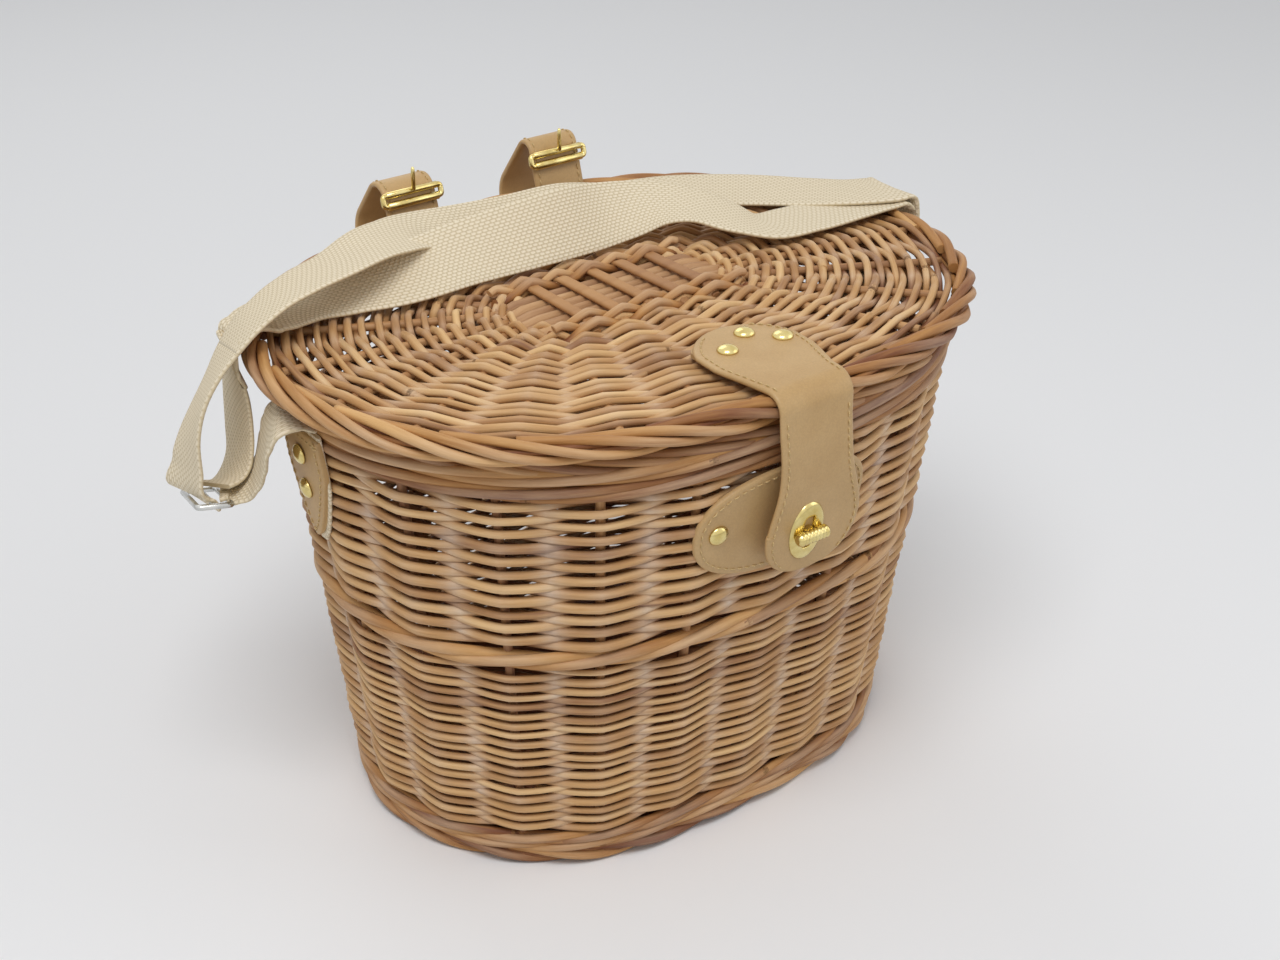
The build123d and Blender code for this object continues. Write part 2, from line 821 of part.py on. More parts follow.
back_band = webbing(
    [
        ((-198.2, 52.4, 3), left_rim, up),
        ((-195.8, 52.3, 10), left_rim),
        ((-188, 54, 15), (0.1, 0.99, 0)),
        ((-172, 66, 17), (-0.4, 0.9, 0)),
        ((-142, 88, 14), (-0.45, 0.89, 0)),
        ((-100, 100, 9), (-0.2, 0.98, 0)),
        ((-50, 102, 3.5), flat),
        ((10, 101, 2.6), flat),
        ((60, 97, 8), (0.16, 0.98, 0.1)),
        ((100, 86, 14), (0.41, 0.91, 0.2)),
        ((135, 62, 18), (0.64, 0.77, 0.25)),
        ((160, 38, 16), (0.74, 0.67, 0.15)),
        ((178, 20, 12.5), (0.66, 0.75, 0)),
        ((192, 11, 9.8), (0.3, 0.95, 0)),
        ((200.6, 9, 6.5), flat),
        ((203.0, 9, -1), flat, down),
    ]
)
save(back_band, "webbing_back")

right_drop = webbing(
    [
        ((201.4, 9, -1.4), flat, down),
        ((203.0, 9, -11), flat),
        ((200, 9, -17.2), flat),
        ((190, 9, -18.4), flat),
        ((180.8, 9, -23.6), flat),
    ]
)
save(right_drop, "webbing_right_drop")

tab_strand = webbing(
    [
        ((-180.6, 9, -23.6), (0.0, -1, 0)),
        ((-184, 9, -18), (0.0, -1, 0)),
        ((-189, 9.5, -17.4), (0.0, -1, 0), (-1, 0, 0)),
        ((-192, 12, -22), (0.0, -1, 0), (0, 0.15, -1)),
        ((-190.5, 20, -32), (0.03, -1, 0.2)),
        ((-188, 32, -48), (0.05, -0.93, 0.35)),
        ((-187.5, 42, -60), (0.15, -0.92, 0.4)),
        ((-191, 45, -67), (0.25, -0.92, 0.3)),
        ((-199.6, 46, -69.4), (0.25, -0.93, 0.28)),
    ]
)
save(tab_strand, "webbing_tab_strand")

inner_strand = webbing(
    [
        ((-191.6, 50.1, -3.8), left_rim, down),
        ((-192.5, 51, -17), (0.33, 0.94, 0)),
        ((-194, 51, -34), (0.33, 0.94, 0)),
        ((-197, 51, -49), (0.33, 0.94, 0)),
        ((-202, 49, -58), (0.3, 0.94, -0.15)),
        ((-209, 46, -63.2), (0.25, 0.93, -0.28)),
    ]
)
save(inner_strand, "webbing_inner_strand")

outer_strand = webbing(
    [
        ((-198.3, 52.5, 2.7), left_rim, down),
        ((-203, 55, -12), (0.33, 0.94, 0)),
        ((-209, 56.5, -32), (0.33, 0.94, 0)),
        ((-216, 58, -52), (0.33, 0.94, 0)),
        ((-221.5, 55, -63), (0.28, 0.94, -0.2)),
        ((-222.5, 50, -66.5), (0.25, 0.93, -0.28)),
    ]
)
save(outer_strand, "webbing_outer_strand")

# Slide buckle: a flat steel frame with a bar across its middle
slider_across = Vector(0.24, 0.93, -0.28)
slider_plane = Plane(
    origin=(slider_centre[0], slider_centre[1], lid_top + slider_centre[2]),
    x_dir=slider_across,
    z_dir=slider_across.cross(Vector(-0.96, 0.26, 0.09)),
)
with BuildPart() as slide_buckle:
    with BuildSketch(slider_plane.offset(-slider_wire)):
        RectangleRounded(slider_length, slider_depth, slider_corner)
        with Locations((0, slider_depth / 4), (0, -slider_depth / 4)):
            Rectangle(
                slider_length - 4 * slider_wire,
                slider_depth / 2 - 3 * slider_wire,
                mode=Mode.SUBTRACT,
            )
    extrude(amount=2 * slider_wire)
save(slide_buckle, "slide_buckle")
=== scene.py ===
import json
import math
from functools import partial

import bpy
import numpy as np
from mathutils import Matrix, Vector


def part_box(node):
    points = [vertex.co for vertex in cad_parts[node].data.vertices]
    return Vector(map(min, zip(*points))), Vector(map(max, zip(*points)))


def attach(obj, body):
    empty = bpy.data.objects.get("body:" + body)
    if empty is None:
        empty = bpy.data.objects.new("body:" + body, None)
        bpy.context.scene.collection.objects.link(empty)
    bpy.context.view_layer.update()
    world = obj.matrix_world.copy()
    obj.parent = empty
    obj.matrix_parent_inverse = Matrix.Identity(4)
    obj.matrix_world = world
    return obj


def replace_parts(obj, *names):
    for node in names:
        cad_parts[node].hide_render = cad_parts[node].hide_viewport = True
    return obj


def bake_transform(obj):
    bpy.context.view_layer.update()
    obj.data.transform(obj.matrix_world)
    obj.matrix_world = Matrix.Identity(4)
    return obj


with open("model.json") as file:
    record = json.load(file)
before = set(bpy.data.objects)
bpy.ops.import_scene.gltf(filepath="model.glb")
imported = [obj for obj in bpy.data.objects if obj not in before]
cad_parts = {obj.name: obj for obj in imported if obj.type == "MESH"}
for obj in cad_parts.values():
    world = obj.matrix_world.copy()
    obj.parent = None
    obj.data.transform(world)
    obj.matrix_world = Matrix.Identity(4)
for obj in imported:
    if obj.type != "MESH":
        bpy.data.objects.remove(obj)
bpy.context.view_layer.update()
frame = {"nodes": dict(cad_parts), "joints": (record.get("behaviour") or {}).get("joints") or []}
nodes = frame["nodes"]

# Lengths in this script are millimetres, and a mesh is turned to metres when it is made.
METRE = 0.001
LENGTHWAYS = np.array([1.0, 0.0, 0.0])
UP = np.array([0.0, 0.0, 1.0])
chance = np.random.default_rng(11)


# Sizes, read from the frame


def box_mm(node):
    """The low and the high corner of a CAD node's box."""
    low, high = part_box(node)
    return np.array(low) / METRE, np.array(high) / METRE


bottom_low, bottom_high = box_mm("bottom_wale")
lower_low, lower_high = box_mm("lower_side_weave")
middle_low, middle_high = box_mm("middle_wale")
upper_low, upper_high = box_mm("upper_side_weave")
top_low, _ = box_mm("top_wale")
rim_low, rim_high = box_mm("top_border")
lid_low, lid_high = box_mm("lid_border")
plate_low, plate_high = box_mm("lid_weave")
_, window_high = box_mm("lid_centre_rods")
pivots = {joint["name"]: np.array(joint["pos_m"]) / METRE for joint in frame["joints"]}

# How much smaller the radius of an oval's end is than half its width
SIDE_END_DROP = 2.5
LID_FRONT_END_DROP = 5.6
LID_BACK_END_DROP = 8.6
LID_ROD_REACH = 7.244  # from the border's middle line to the outermost flat of its CAD ring
LID_RADIUS = (lid_high[2] - lid_low[2]) / 2
LID_LEVEL = (lid_high[2] + lid_low[2]) / 2
LID_TOP = plate_high[2]
LID_LENGTH = lid_high[0] - LID_ROD_REACH
LID_WIDTH = lid_high[1] - LID_ROD_REACH
STAKES = 21
FIRST_STAKE = 0.2663  # share of the way round, from the right end
WEAVE_MIDDLE = -4.0  # the stakes' middle line, inside the side's outer face


def oval(length, width, front_end, back_end, share):
    """Points on an oval of tangent arcs and the way out of it, at shares of its length from its right end."""
    length, width, front_end, back_end, share = np.broadcast_arrays(length, width, front_end, back_end, share)
    arcs = []
    for side, end in ((1, back_end), (-1, front_end)):
        inset = length - end
        flat = (inset**2 + width**2 - end**2) / (2 * (width - end))
        turn = np.arctan2(flat - width, inset)
        start = 0.0 if side > 0 else math.pi
        arcs.append((side * inset, 0 * inset, end, start + 0 * turn, turn))
        arcs.append((0 * inset, side * (width - flat), flat, start + turn, math.pi - 2 * turn))
        arcs.append((-side * inset, 0 * inset, end, start + math.pi - turn, turn))
    total = sum(radius * turn for _, _, radius, _, turn in arcs)
    along = (share % 1.0) * total
    x, y, out = np.zeros(share.shape), np.zeros(share.shape), np.zeros(share.shape)
    begun = 0 * total
    for middle_x, middle_y, radius, start, turn in arcs:
        angle = start + np.clip((along - begun) / radius, 0, turn)
        here = along >= begun
        x = np.where(here, middle_x + radius * np.cos(angle), x)
        y = np.where(here, middle_y + radius * np.sin(angle), y)
        out = np.where(here, angle, out)
        begun = begun + radius * turn
    return x, y, out


def on_oval(length, width, front_end, back_end, share, height, grow):
    """Points round an oval at a height, grow outside it."""
    x, y, out = oval(length, width, front_end, back_end, share)
    return np.stack([x + grow * np.cos(out), y + grow * np.sin(out), height + 0 * x], axis=-1)


def side_sizes(height):
    """Half the length, half the width and the end's radius of the side's face, which leans straight out."""
    share = (height - lower_high[2]) / (upper_high[2] - lower_high[2])
    length = lower_high[0] + (upper_high[0] - lower_high[0]) * share
    width = lower_high[1] + (upper_high[1] - lower_high[1]) * share
    return length, width, width - SIDE_END_DROP


def on_side(share, height, grow):
    """Points round the side of the basket, grow outside its face."""
    length, width, end = side_sizes(height)
    return on_oval(length, width, end, end, share, height, grow)


def on_lid(share, height, grow):
    """Points round the lid, grow outside the middle line of its border."""
    front_end, back_end = LID_WIDTH - LID_FRONT_END_DROP, LID_WIDTH - LID_BACK_END_DROP
    return on_oval(LID_LENGTH, LID_WIDTH, front_end, back_end, share, height, grow)


def face_spot(x, y, height, way_x, way_y, axis, grow):
    """A point at a height off the leaning face, and the way straight out of it. The face leans along axis."""
    lean = math.atan2(upper_high[axis] - lower_high[axis], upper_high[2] - lower_high[2])
    level = math.cos(lean)
    out = np.stack([way_x * level, way_y * level, 0 * way_x - math.sin(lean)], -1)
    return np.stack([x + 0 * way_x, y + 0 * way_x, height + 0 * way_x], -1) + out * grow, out


def front_spot(x, height, grow):
    """A point on the front of the side, grow off its face, and the way out there."""
    length, width, end = side_sizes(height)
    flat = ((length - end) ** 2 + width**2 - end**2) / (2 * (width - end))
    turn = np.arctan2(x, np.sqrt(flat**2 - x**2))
    return face_spot(x, flat - width - flat * np.cos(turn), height, np.sin(turn), -np.cos(turn), 1, grow)


def end_spot(side, y, height, grow):
    """The same on the left (-1) or right (1) end of the side."""
    length, _, end = side_sizes(height)
    turn = np.arctan2(y, np.sqrt(end**2 - y**2))
    x = side * (length - end + end * np.cos(turn))
    return face_spot(x, y, height, side * np.cos(turn), np.sin(turn), 0, grow)


def unit(vectors):
    """Each vector at a length of 1."""
    vectors = np.asarray(vectors, float)
    return vectors / np.maximum(np.linalg.norm(vectors, axis=-1, keepdims=True), 1e-9)


def lengths_along(points):
    """How far along its line each point is."""
    return np.concatenate([[0], np.cumsum(np.linalg.norm(np.diff(points, axis=0), axis=1))])


# Materials


def colour(text):
    """A linear colour from an sRGB hex value."""
    parts = [int(text[i : i + 2], 16) / 255 for i in (1, 3, 5)]
    return tuple([c / 12.92 if c <= 0.04045 else ((c + 0.055) / 1.055) ** 2.4 for c in parts] + [1.0])


def add_node(material, kind, settings=None, sockets=None):
    """Adds a node, sets it, and fills its sockets with values, nodes' first outputs or other outputs."""
    node = material.node_tree.nodes.new("ShaderNode" + kind)
    for name, value in (settings or {}).items():
        if name == "stops":
            for i, (place, stop) in enumerate(value):
                point = node.color_ramp.elements[i] if i < 2 else node.color_ramp.elements.new(place)
                point.position, point.color = place, colour(stop)
        else:
            setattr(node, name, value)
    for name, value in (sockets or {}).items():
        if isinstance(value, bpy.types.Node):
            value = value.outputs[0]
        if isinstance(value, bpy.types.NodeSocket):
            material.node_tree.links.new(value, node.inputs[name])
        else:
            node.inputs[name].default_value = value
    return node


def start_material(name):
    """A new material with an empty node tree."""
    material = bpy.data.materials.new(name)
    material.use_nodes = True
    material.node_tree.nodes.clear()
    return material


def finish_material(material, sockets):
    """Puts the shader under the colours and values worked out before, and gives the material back."""
    shader = add_node(material, "BsdfPrincipled", {}, sockets)
    add_node(material, "OutputMaterial", {}, {"Surface": shader})
    return material


def peeled_willow(name, light, middle, dark, rubbed_and_sheen):
    """Willow rods peeled of their bark and dried: dull and streaked along the rod, paler where they rub and
    with a painted sheen there, and darker where painted shade is kept in the rod's tone.
    """
    material = start_material(name)
    place = add_node(material, "UVMap", {"uv_map": "rod"})
    # Streaks 28 to the metre, so about 35 mm long, and a fifth of the rod's round wide, as the grain shows
    long_way = add_node(material, "Mapping", {}, {"Vector": place, "Scale": (5.0, 28.0, 1.0)})
    streak_sockets = {"Vector": long_way, "Scale": 1.0, "Detail": 5.0, "Roughness": 0.62}
    streaks = add_node(material, "TexNoise", {}, streak_sockets)
    # Blotches about 90 mm long, where a rod dried darker
    blotch_way = add_node(material, "Mapping", {}, {"Vector": place, "Scale": (1.2, 11.0, 1.0)})
    blotches = add_node(material, "TexNoise", {}, {"Vector": blotch_way, "Scale": 1.0, "Detail": 2.0})
    # Each rod's own tone with its painted shade, and its wear with its painted sheen, are kept in its mesh
    tone_and_shade = add_node(material, "Attribute", {"attribute_name": "tone_and_shade"}).outputs["Fac"]
    wear_and_sheen = add_node(material, "Attribute", {"attribute_name": "wear_and_sheen"}).outputs["Fac"]
    streaked = add_node(material, "Math", {"operation": "MULTIPLY_ADD"}, {0: streaks, 1: 0.95, 2: tone_and_shade})
    blotched = add_node(material, "Math", {"operation": "MULTIPLY_ADD"}, {0: blotches, 1: 0.5, 2: streaked})
    level = add_node(material, "Math", {"operation": "SUBTRACT"}, {0: blotched, 1: 0.72})
    stops = [(0.0, dark), (1.0, light), (0.5, middle)]
    wood = add_node(material, "ValToRGB", {"stops": stops}, {"Fac": level})
    # Partly real rubbing and partly painted sheen: the pale rubbed colour is laid on where the wear value is
    # high
    rub_and_sheen = add_node(material, "Math", {"operation": "MULTIPLY"}, {0: wear_and_sheen, 1: streaks})
    worn_and_sheen = add_node(material, "Mix", {"data_type": "RGBA"}, {0: rub_and_sheen, 6: wood, 7: colour(rubbed_and_sheen)})
    bump = add_node(material, "Bump", {}, {"Height": streaks, "Strength": 0.5, "Distance": 0.0004})
    sockets = {"Base Color": worn_and_sheen.outputs[2], "Normal": bump, "Roughness": 0.62, "IOR": 1.5}
    return finish_material(material, sockets)


def tanned_leather(name, light, dark):
    """Smooth vegetable-tanned cowhide: a fine grain, a soft sheen and a colour that clouds."""
    material = start_material(name)
    place = add_node(material, "TexCoord").outputs["Object"]
    cloud_sockets = {"Vector": place, "Scale": 28.0, "Detail": 4.0, "Roughness": 0.6}
    clouds = add_node(material, "TexNoise", {}, cloud_sockets)
    hide = add_node(material, "ValToRGB", {"stops": [(0.3, dark), (0.7, light)]}, {"Fac": clouds})
    # Grain pebbles of about 1 mm, coarser than the hide's own so that they show
    pebbles = add_node(material, "TexVoronoi", {}, {"Vector": place, "Scale": 950.0}).outputs["Distance"]
    shade_sockets = {"Value": pebbles, "From Max": 0.8, "To Min": 1.0, "To Max": 0.9}
    shade = add_node(material, "MapRange", {}, shade_sockets)
    shading = {"data_type": "RGBA", "blend_type": "MULTIPLY"}
    grained = add_node(material, "Mix", shading, {0: 1.0, 6: hide, 7: shade})
    bump = add_node(material, "Bump", {}, {"Height": pebbles, "Strength": 0.25, "Distance": 0.0002})
    sockets = {"Base Color": grained.outputs[2], "Normal": bump, "Roughness": 0.48, "IOR": 1.5}
    return finish_material(material, sockets)


def cotton_webbing(name, light, dark):
    """Heavy cotton webbing in a coarse plain weave: matt, with rows of small raised yarns."""
    yarn, row_pitch = 3.2 * METRE, 1.9 * METRE
    material = start_material(name)
    place = add_node(material, "UVMap", {"uv_map": "band"})
    parts = add_node(material, "SeparateXYZ", {}, {0: place})
    rows = add_node(material, "Math", {"operation": "DIVIDE"}, {0: parts.outputs["X"], 1: row_pitch})
    row = add_node(material, "Math", {"operation": "FLOOR"}, {0: rows})
    # Every other row is set off by half a yarn
    set_off_sockets = {0: row, 1: yarn / 2, 2: parts.outputs["Y"]}
    set_off = add_node(material, "Math", {"operation": "MULTIPLY_ADD"}, set_off_sockets)
    humps = []
    for run, half_turns in ((set_off, math.pi / yarn), (rows, math.pi)):
        angle = add_node(material, "Math", {"operation": "MULTIPLY"}, {0: run, 1: half_turns})
        wave = add_node(material, "Math", {"operation": "SINE"}, {0: angle})
        humps.append(add_node(material, "Math", {"operation": "ABSOLUTE"}, {0: wave}))
    ridge = add_node(material, "Math", {"operation": "MULTIPLY"}, {0: humps[0], 1: humps[1]})
    fuzz = add_node(material, "TexNoise", {}, {"Vector": place, "Scale": 1400.0, "Detail": 2.0})
    height = add_node(material, "Math", {"operation": "MULTIPLY_ADD"}, {0: fuzz, 1: 0.35, 2: ridge})
    # Painted shade: the low parts between the raised yarns are drawn darker
    shade = add_node(material, "MapRange", {}, {"Value": height, "From Max": 1.2})
    cloth = add_node(material, "ValToRGB", {"stops": [(0.1, dark), (0.6, light)]}, {"Fac": shade})
    bump = add_node(material, "Bump", {}, {"Height": height, "Strength": 0.6, "Distance": 0.0006})
    return finish_material(material, {"Base Color": cloth, "Normal": bump, "Roughness": 0.9, "IOR": 1.45})


def polished_metal(name, light, dark, roughness):
    """Plated or solid metal polished on a wheel: bright, with faint stains and handling marks."""
    material = start_material(name)
    place = add_node(material, "TexCoord").outputs["Object"]
    stains = add_node(material, "TexNoise", {}, {"Vector": place, "Scale": 160.0, "Detail": 4.0})
    metal = add_node(material, "ValToRGB", {"stops": [(0.3, dark), (0.65, light)]}, {"Fac": stains})
    gloss_sockets = {"Value": stains, "To Min": roughness - 0.08, "To Max": roughness + 0.12}
    gloss = add_node(material, "MapRange", {}, gloss_sockets)
    return finish_material(material, {"Base Color": metal, "Roughness": gloss, "Metallic": 1.0})


def waxed_thread(name, light, dark):
    """Waxed linen thread: pale, with a twist that shows as fine light and dark."""
    material = start_material(name)
    place = add_node(material, "TexCoord").outputs["Object"]
    twist = add_node(material, "TexNoise", {}, {"Vector": place, "Scale": 1800.0, "Detail": 1.0})
    strands = add_node(material, "ValToRGB", {"stops": [(0.3, dark), (0.7, light)]}, {"Fac": twist})
    return finish_material(material, {"Base Color": strands, "Roughness": 0.6, "IOR": 1.5})


willow = peeled_willow("peeled_willow", "#E0B981", "#BC8D55", "#7C4A26", "#DCD0C4")
willow_thick = peeled_willow("peeled_willow_thick", "#D6A96F", "#B07D45", "#733F1D", "#D6C4B0")
leather = tanned_leather("tanned_leather", "#C9A775", "#BC9864")
cotton = cotton_webbing("cotton_webbing", "#ECDFC6", "#C6B592")
brass = polished_metal("polished_brass", "#E6D596", "#CDB56E", 0.2)
steel = polished_metal("nickel_plated_steel", "#D6D6D3", "#B4B4B1", 0.22)
thread = waxed_thread("waxed_linen_thread", "#D6BA86", "#AB8E5C")


# Mesh makers


def finish_piece(name, corners, faces, material, body, smooth=None, uv_name=None, uvs=None, values=None):
    """A mesh object with its finish, its map and its values for the material, on a body if one is named."""
    mesh = bpy.data.meshes.new(name)
    mesh.from_pydata((np.asarray(corners) * METRE).tolist(), [], faces)
    if uv_name:
        mesh.uv_layers.new(name=uv_name).data.foreach_set("uv", np.asarray(uvs, float).ravel())
    for key, value in (values or {}).items():
        at_corners = mesh.attributes.new(key, "FLOAT", "POINT").data
        at_corners.foreach_set("value", np.full(len(corners), value, float))
    mesh.polygons.foreach_set("use_smooth", [True] * len(faces) if smooth is None else smooth)
    mesh.materials.append(material)
    mesh.update()
    piece = bpy.data.objects.new(name, mesh)
    bpy.context.scene.collection.objects.link(piece)
    if body:
        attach(piece, body)
    return piece


def ring_faces(rings, sides, closed=False, flip=False):
    """Four-sided faces from ring to ring of corners, and each corner's ring and place in it."""
    i, j = np.meshgrid(np.arange(rings if closed else rings - 1), np.arange(sides), indexing="ij")
    ring = np.stack([i, i, i + 1, i + 1], -1).reshape(-1, 4)
    place = np.stack([j, j + 1, j + 1, j], -1).reshape(-1, 4)
    if flip:
        ring, place = ring[:, [0, 3, 2, 1]], place[:, [0, 3, 2, 1]]
    return ring % rings * sides + place % sides, ring, place


def circle_angles(count):
    """Even steps round a circle, in radians."""
    return np.arange(count) / count * 2 * math.pi


def rods(name, paths, material, body, sides=8):
    """Round rods in one mesh. A path is its points, radius, tone with any painted shade (0 dark to 1 light),
    wear with any painted sheen and the way up.
    """
    ring = circle_angles(sides)[:, None]
    corners, quads, quad_uvs, caps, cap_uvs, tones_and_shades, wears_and_sheens = [], [], [], [], [], [], []
    begun = 0
    for points, radius, tone_and_shade, wear_and_sheen, up in paths:
        points = np.asarray(points, float)
        count = len(points)
        along = unit(np.gradient(points, axis=0))
        across = unit(np.cross(along, np.broadcast_to(up, points.shape)))
        top = np.cross(across, along)
        radii = np.full(count, radius, float)[:, None, None]
        circle = np.cos(ring) * across[:, None] + np.sin(ring) * top[:, None]
        corners.append((points[:, None] + radii * circle).reshape(-1, 3))
        # Each rod takes its own stretch of the grain
        lengths = lengths_along(points) * METRE + chance.uniform(0, 40)
        faces, rows, places = ring_faces(count, sides, flip=True)
        quads.append(begun + faces)
        quad_uvs.append(np.stack([places / sides, lengths[rows]], -1).reshape(-1, 2))
        last = begun + (count - 1) * sides
        caps += [list(range(begun, begun + sides)), list(range(last + sides - 1, last - 1, -1))]
        cap_uvs += [[0.5, lengths[0]]] * sides + [[0.5, lengths[-1]]] * sides
        tones_and_shades.append(np.repeat(np.full(count, tone_and_shade, float), sides))
        wears_and_sheens.append(np.repeat(np.full(count, wear_and_sheen, float), sides))
        begun += count * sides
    faces = np.concatenate(quads).tolist() + caps
    smooth = [True] * (len(faces) - len(caps)) + [False] * len(caps)
    uvs = np.concatenate(quad_uvs + [cap_uvs])
    values = {"tone_and_shade": np.concatenate(tones_and_shades), "wear_and_sheen": np.concatenate(wears_and_sheens)}
    return finish_piece(name, np.concatenate(corners), faces, material, body, smooth, "rod", uvs, values)


def strip(
    name, path, across, width, thickness, material, body,
    closed=False, lanes=8, along=None, uv_name="band", values=None,
):
    """A flat band with rounded edges. The way across it and its width may change along it."""
    path = np.asarray(path, float)
    count = len(path)
    if along is None:
        along = np.roll(path, -1, 0) - np.roll(path, 1, 0) if closed else np.gradient(path, axis=0)
    along = unit(along)
    across = unit(np.broadcast_to(across, path.shape))
    across = unit(across - along * np.sum(across * along, axis=1, keepdims=True))
    out = np.cross(along, across)
    edge = thickness / 2
    flat = np.maximum(np.full(count, width, float) / 2 - edge, 0.02)
    spread = np.linspace(-1, 1, lanes + 1)
    rounding = [(0.7 * edge, 0.7 * edge), (edge, 0), (0.7 * edge, -0.7 * edge)]
    section = [(flat * share, edge) for share in spread] + [(flat + x, z) for x, z in rounding]
    section += [(flat * share, -edge) for share in spread[::-1]] + [(-flat - x, -z) for x, z in rounding]
    corners = np.stack([path + across * x[:, None] + out * z for x, z in section], 1).reshape(-1, 3)
    lengths = lengths_along(np.vstack([path, path[:1]]))
    widths = np.stack([x for x, _ in section], 1)
    sides = len(section)
    faces, rows, places = ring_faces(count, sides, closed)
    uvs = np.stack([widths[rows % count, places % sides], lengths[rows]], -1).reshape(-1, 2) * METRE
    faces = faces.tolist()
    smooth = [True] * len(faces)
    if not closed:
        faces += [list(range(sides - 1, -1, -1)), list(range((count - 1) * sides, count * sides))]
        uvs = np.concatenate([uvs, np.zeros((2 * sides, 2))])
        smooth += [False, False]
    return finish_piece(name, corners, faces, material, body, smooth, uv_name, uvs, values)


def turned(name, profile, spots, material, body, segments=28):
    """Round pieces in one mesh: the profile gives radius and height, and a spot is a foot and the way up."""
    profile = np.asarray(profile, float)
    ring = circle_angles(segments)[:, None]
    last = (len(profile) - 1) * segments
    sides = ring_faces(len(profile), segments)[0].tolist()
    one_piece = sides + [list(range(segments - 1, -1, -1)), list(range(last, last + segments))]
    corners, faces = [], []
    for foot, up in spots:
        up = unit(up)
        across = unit(np.cross(up, [0.3, 0.2, 0.9] if abs(up[2]) < 0.9 else LENGTHWAYS))
        circle = np.cos(ring) * across + np.sin(ring) * np.cross(up, across)
        begun = len(corners) * (last + segments)
        faces += [[begun + corner for corner in face] for face in one_piece]
        corners.append((foot + profile[:, :1, None] * circle + profile[:, 1:, None] * up).reshape(-1, 3))
    smooth = ([True] * len(sides) + [False, False]) * len(spots)
    return finish_piece(name, np.concatenate(corners), faces, material, body, smooth)


def smooth_line(rows, step):
    """A smooth curve through rows of values that start with a point, and the station each sample is at."""
    rows = np.asarray(rows, float)
    gaps = np.maximum(np.linalg.norm(np.diff(rows[:, :3], axis=0), axis=1), 1e-6)
    slopes = np.diff(rows, axis=0) / gaps[:, None]
    before, after = gaps[:-1, None], gaps[1:, None]
    between = (slopes[:-1] * after + slopes[1:] * before) / (before + after)
    tangents = np.vstack([slopes[:1], between, slopes[-1:]])
    samples, stations = [], []
    for i, gap in enumerate(gaps):
        steps = max(2, int(math.ceil(gap / step)))
        t = (np.arange(steps) / steps)[:, None]
        samples.append(
            (2 * t**3 - 3 * t**2 + 1) * rows[i] + (t**3 - 2 * t**2 + t) * gap * tangents[i]
            + (3 * t**2 - 2 * t**3) * rows[i + 1] + (t**3 - t**2) * gap * tangents[i + 1]
        )
        stations.append(i + t[:, 0])
    samples.append(rows[-1:])
    stations.append([len(rows) - 1])
    return np.vstack(samples), np.concatenate(stations)


def stitches(name, lines, body):
    """Short raised threads along lines. A line is its points and the ways out of the leather."""
    length, gap, radius = 3.2, 1.1, 0.42
    # Both ends of a stitch go down into the leather, and are drawn thinner there
    lift = np.array([-0.25, 0.2, 0.3, 0.2, -0.25])[:, None]
    radii = radius * np.array([0.6, 1, 1, 1, 0.6])
    paths = []
    for points, outs in lines:
        outs = unit(outs)
        reach = lengths_along(points)
        count = max(1, int((reach[-1] + gap) / (length + gap)))
        pitch = (reach[-1] + gap) / count
        for i in range(count):
            at = i * pitch + np.linspace(0, pitch - gap, 5)
            middle = np.stack([np.interp(at, reach, points[:, k]) for k in range(3)], -1)
            out = unit(np.stack([np.interp(at, reach, outs[:, k]) for k in range(3)], -1))
            paths.append((middle + out * lift, radii, 0.5, 0, out))
    return rods(name, paths, thread, body, sides=6)


def wire_frame(middle, across, up, half_width, half_height, corner):
    """The line of a wire bent to a rectangle with round corners. It runs on past its start to close."""
    line = []
    for way_across, way_up, start in ((1, 1, 0), (-1, 1, 90), (-1, -1, 180), (1, -1, 270)):
        for angle in np.radians(start + 18 * np.arange(6)):
            along = way_across * (half_width - corner) + corner * math.cos(angle)
            rise = way_up * (half_height - corner) + corner * math.sin(angle)
            line.append(middle + across * along + up * rise)
    return np.array(line + line[:2])


# The side's weave

FOOT_MIDDLE = 6.2
RIM_MIDDLE = (rim_low[2] + rim_high[2]) / 2 - 2.2
WEAVE_TOP = top_low[2] + 20.5  # the photograph shows plain weave up to here, and long lazy rods above it
LAZY_TOP = rim_low[2] - 1.0
STAKE_FOOT = 14.0
STAKE_RADIUS = 2.4


def in_and_out(phase, reach):
    """How far a weaver stands out: over stakes at even phases and behind them at odd ones."""
    wave = np.cos(math.pi * phase)
    point = 1 - 2 * np.abs((phase + 1) % 2 - 1)
    return reach * (0.3 * wave + 0.7 * point)


def side_stakes():
    """Upright rods that the side is woven round."""
    paths = []
    for i in range(STAKES):
        points = on_side(FIRST_STAKE + i / STAKES, np.linspace(STAKE_FOOT, LAZY_TOP, 30), WEAVE_MIDDLE)
        paths.append((points, STAKE_RADIUS, chance.uniform(0.15, 0.5), 0.2, unit(points * [1, 1, 0])))
    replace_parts(rods("stakes_round", paths, willow_thick, "basket"), "stakes")


